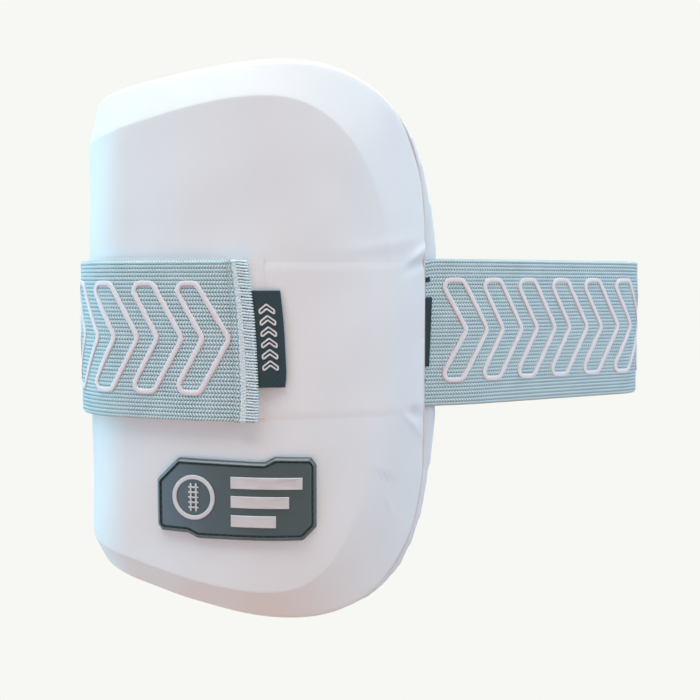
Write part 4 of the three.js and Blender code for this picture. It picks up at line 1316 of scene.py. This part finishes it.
def label_finish():
    """Label tape: a dull, dark twill, with a highlight painted along its free edge."""
    material, tree, surface = new_finish("woven label tape", {"Roughness": 0.85, "Specular IOR Level": 0.2})
    flat = add_node(tree, "ShaderNodeUVMap", uv_map="flat").outputs[0]
    stripes = {"Vector": flat, "Scale": 1 / (WEAVE_UNIT * MM), "Distortion": 1.0}
    weave = add_node(tree, "ShaderNodeTexWave", stripes, bands_direction="DIAGONAL").outputs["Fac"]
    tones = {0: weave, 6: linear("#344248"), 7: linear("#3A494F")}
    tape = add_node(tree, "ShaderNodeMix", tones, data_type="RGBA").outputs[2]
    out = add_node(tree, "ShaderNodeSeparateXYZ", {0: flat}).outputs["X"]
    # painted highlight: the last strip of the label's free edge is coloured light
    past = {0: out, 1: (LABEL_TIP - LABEL_EDGE_HIGHLIGHT) * MM}
    edge_highlight = add_node(tree, "ShaderNodeMath", past, operation="GREATER_THAN")
    highlighted = {0: edge_highlight, 6: tape, 7: linear("#A9B5BA")}
    colour = add_node(tree, "ShaderNodeMix", highlighted, data_type="RGBA").outputs[2]
    raised = {"Height": weave, "Strength": 0.3, "Distance": WEAVE_DEPTH * MM}
    set_inputs(tree, surface, {"Base Color": colour, "Normal": add_node(tree, "ShaderNodeBump", raised)})
    return material


LABEL_TAPE = label_finish()


def label_place(out, rise, height):
    """A place on the label: out from the strap's end, up, and height above its under side."""
    droop = LABEL_DROOP * smooth(out / LABEL_LENGTH)
    bow = LABEL_BOW * np.sin(math.pi * (rise - LABEL_LOW) / (LABEL_HIGH - LABEL_LOW)) * out / LABEL_LENGTH
    low = np.clip((LABEL_CORNER["from"] - rise) / LABEL_CORNER["run"], 0, 1)
    drawn = LABEL_CORNER["drawn"] * low**2 * out / LABEL_LENGTH
    return on_strap(out + LABEL_OUT - drawn, rise - STRAP_MIDDLE, LABEL_LEVEL - droop + bow + height)


def label_mesh():
    out = np.linspace(-LABEL_UNDER, LABEL_TIP, LABEL_COLUMNS)
    rise = np.linspace(LABEL_LOW, LABEL_HIGH, LABEL_ROWS)
    grid = np.meshgrid(out, rise, indexing="ij")
    mesh = closed_sheet("pull_label", label_place(*grid, LABEL_THICKNESS), label_place(*grid, 0.0))
    flat = np.stack(grid, -1).reshape(-1, 2) * MM
    return keep_flat(mesh, np.concatenate([flat, flat]))


def on_label(x, y, height):
    """A place for the label's marks, whose row runs down the label."""
    return label_place(LABEL_MARKS["out"] - y, LABEL_MARKS["rise"] + x, LABEL_THICKNESS + height)


flat_marks = made_flat(
    PRINT_TREE, path_mesh(chevron(**LABEL_CHEVRON), closed=True), Count=LABEL_MARKS["count"],
    Pitch=LABEL_MARKS["pitch"], Stroke=0.8, Height=0.3, Corner=0.4, Step=0.4,
)
LABEL_THREAD = thread_finish("white label thread", "#F4F2F4", "#D9D8DC")
label_marks = new_piece("label_marks", laid(flat_marks, on_label), LABEL_THREAD, "woven_tab")
pull_label = new_piece("pull_label", label_mesh(), LABEL_TAPE, "woven_tab", "pull_tab")

# %% [markdown]
# ## The root label
# Where the strap leaves the right seam, a dark bar is woven into it, with a small square above and below.
# They could be painted by the elastic's finish, but as thin plates on the strap's outer side they keep a
# crisp edge and have the label's own weave.

# %% Root label
# Run back from the strap's far end, and rise: from, to, low, high.
ROOT_MARKS = ((1.0, 4.4, -14.0, 21.0), (0.6, 2.8, 28.8, 31.2), (1.0, 2.6, -22.6, -20.2))
ROOT_LEAN = 0.04
ROOT_PROUD, ROOT_SINK = 0.55, 0.2
ROOT_COLUMNS, ROOT_ROWS = 8, 30


def root_mesh():
    made = []
    for near, far, low, high in ROOT_MARKS:
        x = -(STRAP_LENGTH - np.linspace(far, near, ROOT_COLUMNS))
        y = np.linspace(low, high, ROOT_ROWS)
        grid_x, grid_y = np.meshgrid(x, y - STRAP_MIDDLE - STRAP_CLIMB, indexing="ij")
        grid_x = grid_x + ROOT_LEAN * grid_y
        outer = on_strap(grid_x, grid_y, STRAP_THICKNESS + ROOT_PROUD)
        inner = on_strap(grid_x, grid_y, STRAP_THICKNESS - ROOT_SINK)
        made.append(closed_sheet("root_mark", outer, inner))
    return joined("root_label", made)


new_piece("root_label", root_mesh(), LABEL_TAPE, "woven_tab", "root_tab")

# %% [markdown]
# ## The badge
# The badge is soft moulded rubber with a rounded rim, a sewing groove inside it and a level field. Such
# rubber is dark and satin, with a thin gloss that draws a light line along the rim. A bevel modifier rounds
# every edge alike, so instead one outline is moved inwards step by step, with a height at each step. That
# gives the whole section as rings.

# %% Badge plate
BADGE_OUTLINE = np.array([
    (150.6, -64.9), (139.6, -54.2), (97.4, -55.0), (92.5, -52.4), (75.8, -52.8), (73.3, -56.2),
    (73.3, -85.4), (79.6, -91.7), (130.0, -92.1), (135.0, -89.8), (148.4, -89.5), (150.6, -86.8),
])
# Section of the badge: inset from the outline, and height over the pad's front face.
BADGE_SECTION = (
    (0.0, 0.3), (0.03, 1.0), (0.15, 1.45), (0.75, 2.0), (1.35, 2.55), (1.52, 2.65), (1.66, 2.55), (1.76, 2.2),
    (1.85, 1.5), (2.05, 1.2), (2.3, 1.35), (2.42, 1.85), (2.6, 2.06), (3.2, 2.1),
)
BADGE_FOOT, BADGE_FACE = BADGE_SECTION[0][1], BADGE_SECTION[-1][1]
BADGE_SPACING, BADGE_LEAST_STEPS, BADGE_ROUNDING = 0.5, 6, 2
BADGE_FIELD_ROWS = 7
RUBBER_COAT = {"Coat Weight": 0.4, "Coat Roughness": 0.25}
RUBBER_CLOUD, RUBBER_GRAIN, RUBBER_DEPTH = 7.0, 0.5, 0.08


def rubber_finish(name, light, shade, roughness):
    """Moulded rubber: satin and a little clouded, with a fine grain under a thin gloss."""
    material, tree, surface = new_finish(name, {"Roughness": roughness, **RUBBER_COAT})
    place, _ = mottled(tree, surface, light, shade, RUBBER_CLOUD, detail=3.0)
    noise = {"Vector": place, "Scale": 1 / (RUBBER_GRAIN * MM), "Detail": 2.0}
    grain = add_node(tree, "ShaderNodeTexNoise", noise).outputs["Fac"]
    raised = {"Height": grain, "Strength": 0.25, "Distance": RUBBER_DEPTH * MM}
    set_inputs(tree, surface, {"Normal": add_node(tree, "ShaderNodeBump", raised)})
    return material


RUBBER = rubber_finish("soft moulded rubber", "#3A474B", "#344145", roughness=0.36)
PALE_RUBBER = rubber_finish("pale raised rubber", "#DCD8DA", "#C6C3C7", roughness=0.6)


def inset_outline(corners, inset):
    """An outline moved inwards, corner by corner."""
    edges = np.roll(corners, -1, 0) - corners
    normals = np.stack([edges[:, 1], -edges[:, 0]], 1) / np.linalg.norm(edges, axis=1, keepdims=True)
    before = np.roll(normals, 1, 0)
    lean = 1 + np.sum(normals * before, axis=1, keepdims=True)
    middle = corners.mean(0)
    inward = np.sign(np.sum((middle - corners) * (normals + before), axis=1).sum())
    return corners + inset * inward * (normals + before) / lean


def badge_ring(inset):
    """Points round the badge at an inset, evenly spaced and with rounded corners."""
    corners = inset_outline(BADGE_OUTLINE, inset)
    lengths = np.linalg.norm(np.roll(BADGE_OUTLINE, -1, 0) - BADGE_OUTLINE, axis=1)
    ring = []
    for start, end, length in zip(corners, np.roll(corners, -1, 0), lengths):
        steps = max(BADGE_LEAST_STEPS, int(length / BADGE_SPACING))
        ring.append(start + (end - start) * (np.arange(steps) / steps)[:, None])
    ring = np.concatenate(ring)
    for _ in range(BADGE_ROUNDING):
        ring = (np.roll(ring, 1, 0) + 2 * ring + np.roll(ring, -1, 0)) / 4
    return ring


def over_pad(places, height):
    """Points over the front face, from distances along and heights up."""
    return on_pad(-places[..., 0], places[..., 1], height)


def badge_mesh():
    middle = BADGE_OUTLINE.mean(0)
    rings = [(badge_ring(inset), height) for inset, height in BADGE_SECTION]
    last = rings[-1][0]
    for share in np.linspace(1, 0, BADGE_FIELD_ROWS + 1)[1:-1]:
        rings.append((middle + (last - middle) * share, BADGE_FACE))
    rows = [over_pad(ring, height) for ring, height in rings]
    return ring_mesh("badge_plate", over_pad(middle, BADGE_FOOT), rows, over_pad(middle, BADGE_FACE))


new_piece("badge_plate", badge_mesh(), RUBBER, "badge_rubber", "badge")

# %% [markdown]
# ### Raised shapes
# Marks on moulded rubber are poured into the mould first, in their own colour, and stand a little proud. Flat
# curves could be extruded for them, but their faces would stay flat. Here each mark is a closed outline
# raised by a short bevelled wall, point by point, so it bends with the pad.

# %% Raised shapes
MARK_HEIGHT, MARK_BEVEL, MARK_FLAT, MARK_SINK = 0.75, 0.25, 0.15, 0.2


def mark_rows(outline, rise=1):
    """Rings of a bevelled wall on the badge's face, from a closed outline of along and z."""
    steps = (
        (0.0, -MARK_SINK),
        (0.0, MARK_HEIGHT - MARK_BEVEL),
        (MARK_BEVEL / 3, MARK_HEIGHT - MARK_BEVEL / 3),
        (MARK_BEVEL, MARK_HEIGHT),
        (MARK_BEVEL + MARK_FLAT, MARK_HEIGHT),
    )
    return [over_pad(inset_outline(outline, rise * inset), BADGE_FACE + height) for inset, height in steps]


def block_mark(outline):
    """A solid raised block."""
    middle = outline.mean(0)
    foot, top = (over_pad(middle, BADGE_FACE + height) for height in (-MARK_SINK, MARK_HEIGHT))
    return ring_mesh("mark", foot, mark_rows(outline), top)


def ring_mark(outer, inner):
    """A raised ring between two outlines with the same count of points."""
    rows = mark_rows(outer) + mark_rows(inner, -1)[::-1]
    index = np.arange(len(rows) * len(outer)).reshape(len(rows), len(outer))
    after, across = np.roll(index, -1, 1), np.roll(index, -1, 0)
    faces = np.stack([index, after, np.roll(across, -1, 1), across], -1).reshape(-1, 4)
    return mesh_of("mark", np.concatenate(rows), faces.tolist())


def rectangle(start, end, low, high, spacing):
    """Points round a rectangle."""
    corners = np.array([(start, low), (end, low), (end, high), (start, high)])
    sides = []
    for first, last in zip(corners, np.roll(corners, -1, 0)):
        steps = int(np.linalg.norm(last - first) / spacing)
        sides.append(first + (last - first) * (np.arange(steps) / steps)[:, None])
    return np.concatenate(sides)


# %% [markdown]
# ### The badge's marks
# The marks are plain shapes in pale rubber: a ball in outline with its seam, and three bars of falling
# length. Each is a row of sizes, so a loop makes them from the shapes above, and they are joined to one
# piece.

# %% Badge marks
BALL = {"along": 131.5, "z": -72.5, "outer": 10.6, "inner": 8.6, "points": 96}
# The ball's seam: two lines beside its middle, with ticks across.
SEAM_LINES = {"apart": 1.3, "width": 0.8, "half_length": 6.6}
SEAM_TICKS = {"count": 5, "pitch": 2.4, "half_length": 2.5, "width": 0.7}
# Bars: along from, along to, z low, z high.
BARS = ((113.0, 80.0, -67.5, -62.0), (113.0, 86.0, -76.5, -71.0), (113.0, 92.0, -85.5, -80.0))
BAR_SPACING, SEAM_SPACING = 0.6, 0.3


def circle(radius):
    turn = np.linspace(0, math.tau, BALL["points"], endpoint=False)
    return np.stack([BALL["along"] + radius * np.cos(turn), BALL["z"] + radius * np.sin(turn)], 1)


def marks_mesh():
    made = [block_mark(rectangle(*bar, BAR_SPACING)) for bar in BARS]
    made.append(ring_mark(circle(BALL["outer"]), circle(BALL["inner"])))
    middle, up = BALL["along"], BALL["z"]
    half, length = SEAM_LINES["width"] / 2, SEAM_LINES["half_length"]
    for side in (-1, 1):
        at = middle + side * SEAM_LINES["apart"]
        made.append(block_mark(rectangle(at + half, at - half, up - length, up + length, SEAM_SPACING)))
    half, length = SEAM_TICKS["width"] / 2, SEAM_TICKS["half_length"]
    for tick in range(SEAM_TICKS["count"]):
        at = up + SEAM_TICKS["pitch"] * (tick - (SEAM_TICKS["count"] - 1) / 2)
        ends = middle + length, middle - length
        made.append(block_mark(rectangle(*ends, at - half, at + half, SEAM_SPACING)))
    return joined("badge_marks", made)


new_piece("badge_marks", marks_mesh(), PALE_RUBBER, "badge_rubber")

# %% [markdown]
# ### The badge's stitches
# A row of dark stitches in the groove holds the badge on the cover. They sit half hidden there, so to the eye
# they are a fine broken line. The stitch tree makes them, with the groove's own ring as its path.

# %% Badge stitches
GROOVE_INSET, GROOVE_HEIGHT = 2.05, 1.4
DARK_THREAD = thread_finish("dark sewing thread", "#5B676B", "#3E484C")
groove = badge_ring(GROOVE_INSET)
groove_path = np.column_stack([-groove[:, 0], groove[:, 1], np.full(len(groove), GROOVE_HEIGHT)])
groove_path = np.concatenate([groove_path, groove_path[:1]])
groove_stitches = stitched(groove_path, on_pad, Pitch=3.4, Length=2.5, Radius=0.24, Rise=0.25)
new_piece("badge_stitches", groove_stitches, DARK_THREAD, "badge_rubber")

# %% [markdown]
# ## The seam
# The shell and the cushion are sewn together with a thin soft cord in the seam. It shows as a fine warm line
# down the right side, where it is drawn up over the shoulder, and its warm, darker tones are painted shade of
# the seam. A bevelled curve would do as well. A tree keeps the radius as a named input, and sweeps a round
# section along the seam's path.

# %% Seam cord
CORD_RADIUS = 0.95
# The cord's inset and lift: in the seam all round, and drawn up over the shoulder on the right.
CORD_IN_SEAM, CORD_ON_RIGHT = np.array([0.35, 10.2]), np.array([-0.35, 12.9])
# Where it starts to be drawn up, as a share of the way towards the right, and over what share.
CORD_DRAWN_FROM, CORD_DRAWN_OVER = 0.3, 0.4
# painted shade: the cord is coloured a darker, warm pink for the shaded line in the seam
SHADED_SEAM_CORD = thread_finish("seam cord with painted shade", "#E8D8D6", "#D2BEBC")


def cord_tree():
    tree, sizes, out = new_tree("seam cord", ("Radius",))
    line = add_node(tree, "GeometryNodeMeshToCurve", {"Mesh": sizes["Path"]})
    round_section = {"Resolution": 10, "Radius": sizes["Radius"]}
    section = add_node(tree, "GeometryNodeCurvePrimitiveCircle", round_section)
    cord = add_node(tree, "GeometryNodeCurveToMesh", {"Curve": line, "Profile Curve": section})
    return end_tree(tree, out, cord, SHADED_SEAM_CORD)


drawn_up = smooth((-np.cos(angles) - CORD_DRAWN_FROM) / CORD_DRAWN_OVER)[:, None]
cord_inset, cord_lift = (CORD_IN_SEAM + (CORD_ON_RIGHT - CORD_IN_SEAM) * drawn_up).T
seam_path = polar_points(edge - cord_inset, cord_lift) / MM
cord = made_flat(cord_tree(), path_mesh(seam_path, closed=True), Radius=CORD_RADIUS)
new_piece("seam_cord", outward(cord), SHADED_SEAM_CORD, "pad_shell")

# %% [markdown]
# ## Lights
# The pad is lit softly from above, with cool windows at both sides and behind, and a warm bounce from below.
# A small light catches the badge's rim. One strong lamp would draw hard shadows on white cloth, so these are
# area lights, each as large as a softbox.

# %% Lights
MIDDLE, BADGE_MIDDLE = (0.05, 0.03, 0.0), (0.02, -0.02, -0.07)
# Softboxes: place, aim, width and height, all in metres, then watts and colour.
SOFTBOXES = {
    "top_softbox": ((0.1, -0.16, 1.2), MIDDLE, (1.0, 0.9), 16.4, "#FAFFF3"),
    "rim_light": ((-0.4, -0.4, 0.85), BADGE_MIDDLE, (0.35, 0.35), 3.0, "#E2F3FF"),
    "left_window": ((-1.2, -0.2, 0.2), MIDDLE, (0.8, 1.2), 10.6, "#80EBFF"),
    "left_fill": ((-0.8, -1.0, -0.4), MIDDLE, (0.7, 1.0), 5.2, "#ACD3FF"),
    "right_window": ((1.3, -0.1, 0.3), MIDDLE, (0.8, 1.2), 11.7, "#B6E1FA"),
    "low_bounce": ((0.1, -0.7, -0.9), MIDDLE, (0.8, 0.6), 3.7, "#FFCB80"),
    "back_fill": ((0.2, 1.3, 0.5), MIDDLE, (1.0, 1.0), 8.0, "#CFEFFF"),
}


def add_softbox(name, place, aim, size, power, colour):
    lamp = bpy.data.lights.new(name, "AREA")
    lamp.shape = "RECTANGLE"
    lamp.size, lamp.size_y = size
    lamp.energy = power
    lamp.color = linear(colour)[:3]
    light = bpy.data.objects.new(name, lamp)
    SCENE.collection.objects.link(light)
    light.location = place
    light.rotation_euler = (Vector(aim) - Vector(place)).to_track_quat("-Z", "Y").to_euler()
    return light


lights = {name: add_softbox(name, *softbox) for name, softbox in SOFTBOXES.items()}
# A warm glare on the dark badge would look like another colour, so the bounce gives no reflections.
lights["low_bounce"].visible_glossy = False
print("softboxes:", len(lights))

# %% [markdown]
# ## Ground
# The guard is shown on a plain pale ground. A picture could be set behind it, but the world can do two jobs
# at once: the camera and the gloss see the pale ground, and everything else gets a faint warm light, which
# fills the shadows. A plain floor lies well under the guard, because a worn thing touches no floor.

# %% Ground
GROUND = "#F7F8F3"
ROOM_LIGHT, ROOM_STRENGTH = "#F8CEC6", 0.305
FLOOR_DROP, FLOOR_SIZE = 0.62, 30.0
FLOOR_CORNERS = ((-1, -1), (1, -1), (1, 1), (-1, 1))

world = bpy.data.worlds.new("pale room")
SCENE.world = world
world.use_nodes = True
sky = world.node_tree
backdrop = sky.nodes["Background"]
set_inputs(sky, backdrop, {"Color": linear(GROUND)})
room = add_node(sky, "ShaderNodeBackground", {"Color": linear(ROOM_LIGHT), "Strength": ROOM_STRENGTH})
rays = add_node(sky, "ShaderNodeLightPath").outputs
seen_rays = {0: rays["Is Camera Ray"], 1: rays["Is Glossy Ray"]}
pale = add_node(sky, "ShaderNodeMath", seen_rays, operation="MAXIMUM")
mixed = add_node(sky, "ShaderNodeMixShader", {0: pale, 1: room, 2: backdrop})
set_inputs(sky, sky.nodes["World Output"], {"Surface": mixed})

floor_mesh = bpy.data.meshes.new("floor")
floor_points = [(FLOOR_SIZE * x, FLOOR_SIZE * y, -FLOOR_DROP) for x, y in FLOOR_CORNERS]
floor_mesh.from_pydata(floor_points, [], [(0, 1, 2, 3)])
floor = bpy.data.objects.new("floor", floor_mesh)
SCENE.collection.objects.link(floor)
# The floor shines with the ground's own colour, so that it looks as even as the backdrop.
FLOOR_SURFACE = {"Roughness": 0.9, "Specular IOR Level": 0.0, "Base Color": (0, 0, 0, 1)}
FLOOR_SURFACE |= {"Emission Color": linear(GROUND), "Emission Strength": 1.0}
floor_mesh.materials.append(new_finish("pale floor", FLOOR_SURFACE)[0])
floor.visible_diffuse = False
floor.visible_glossy = False
floor.visible_shadow = False
SCENE.view_settings.view_transform = "Standard"
print("floor at", -FLOOR_DROP, "m")
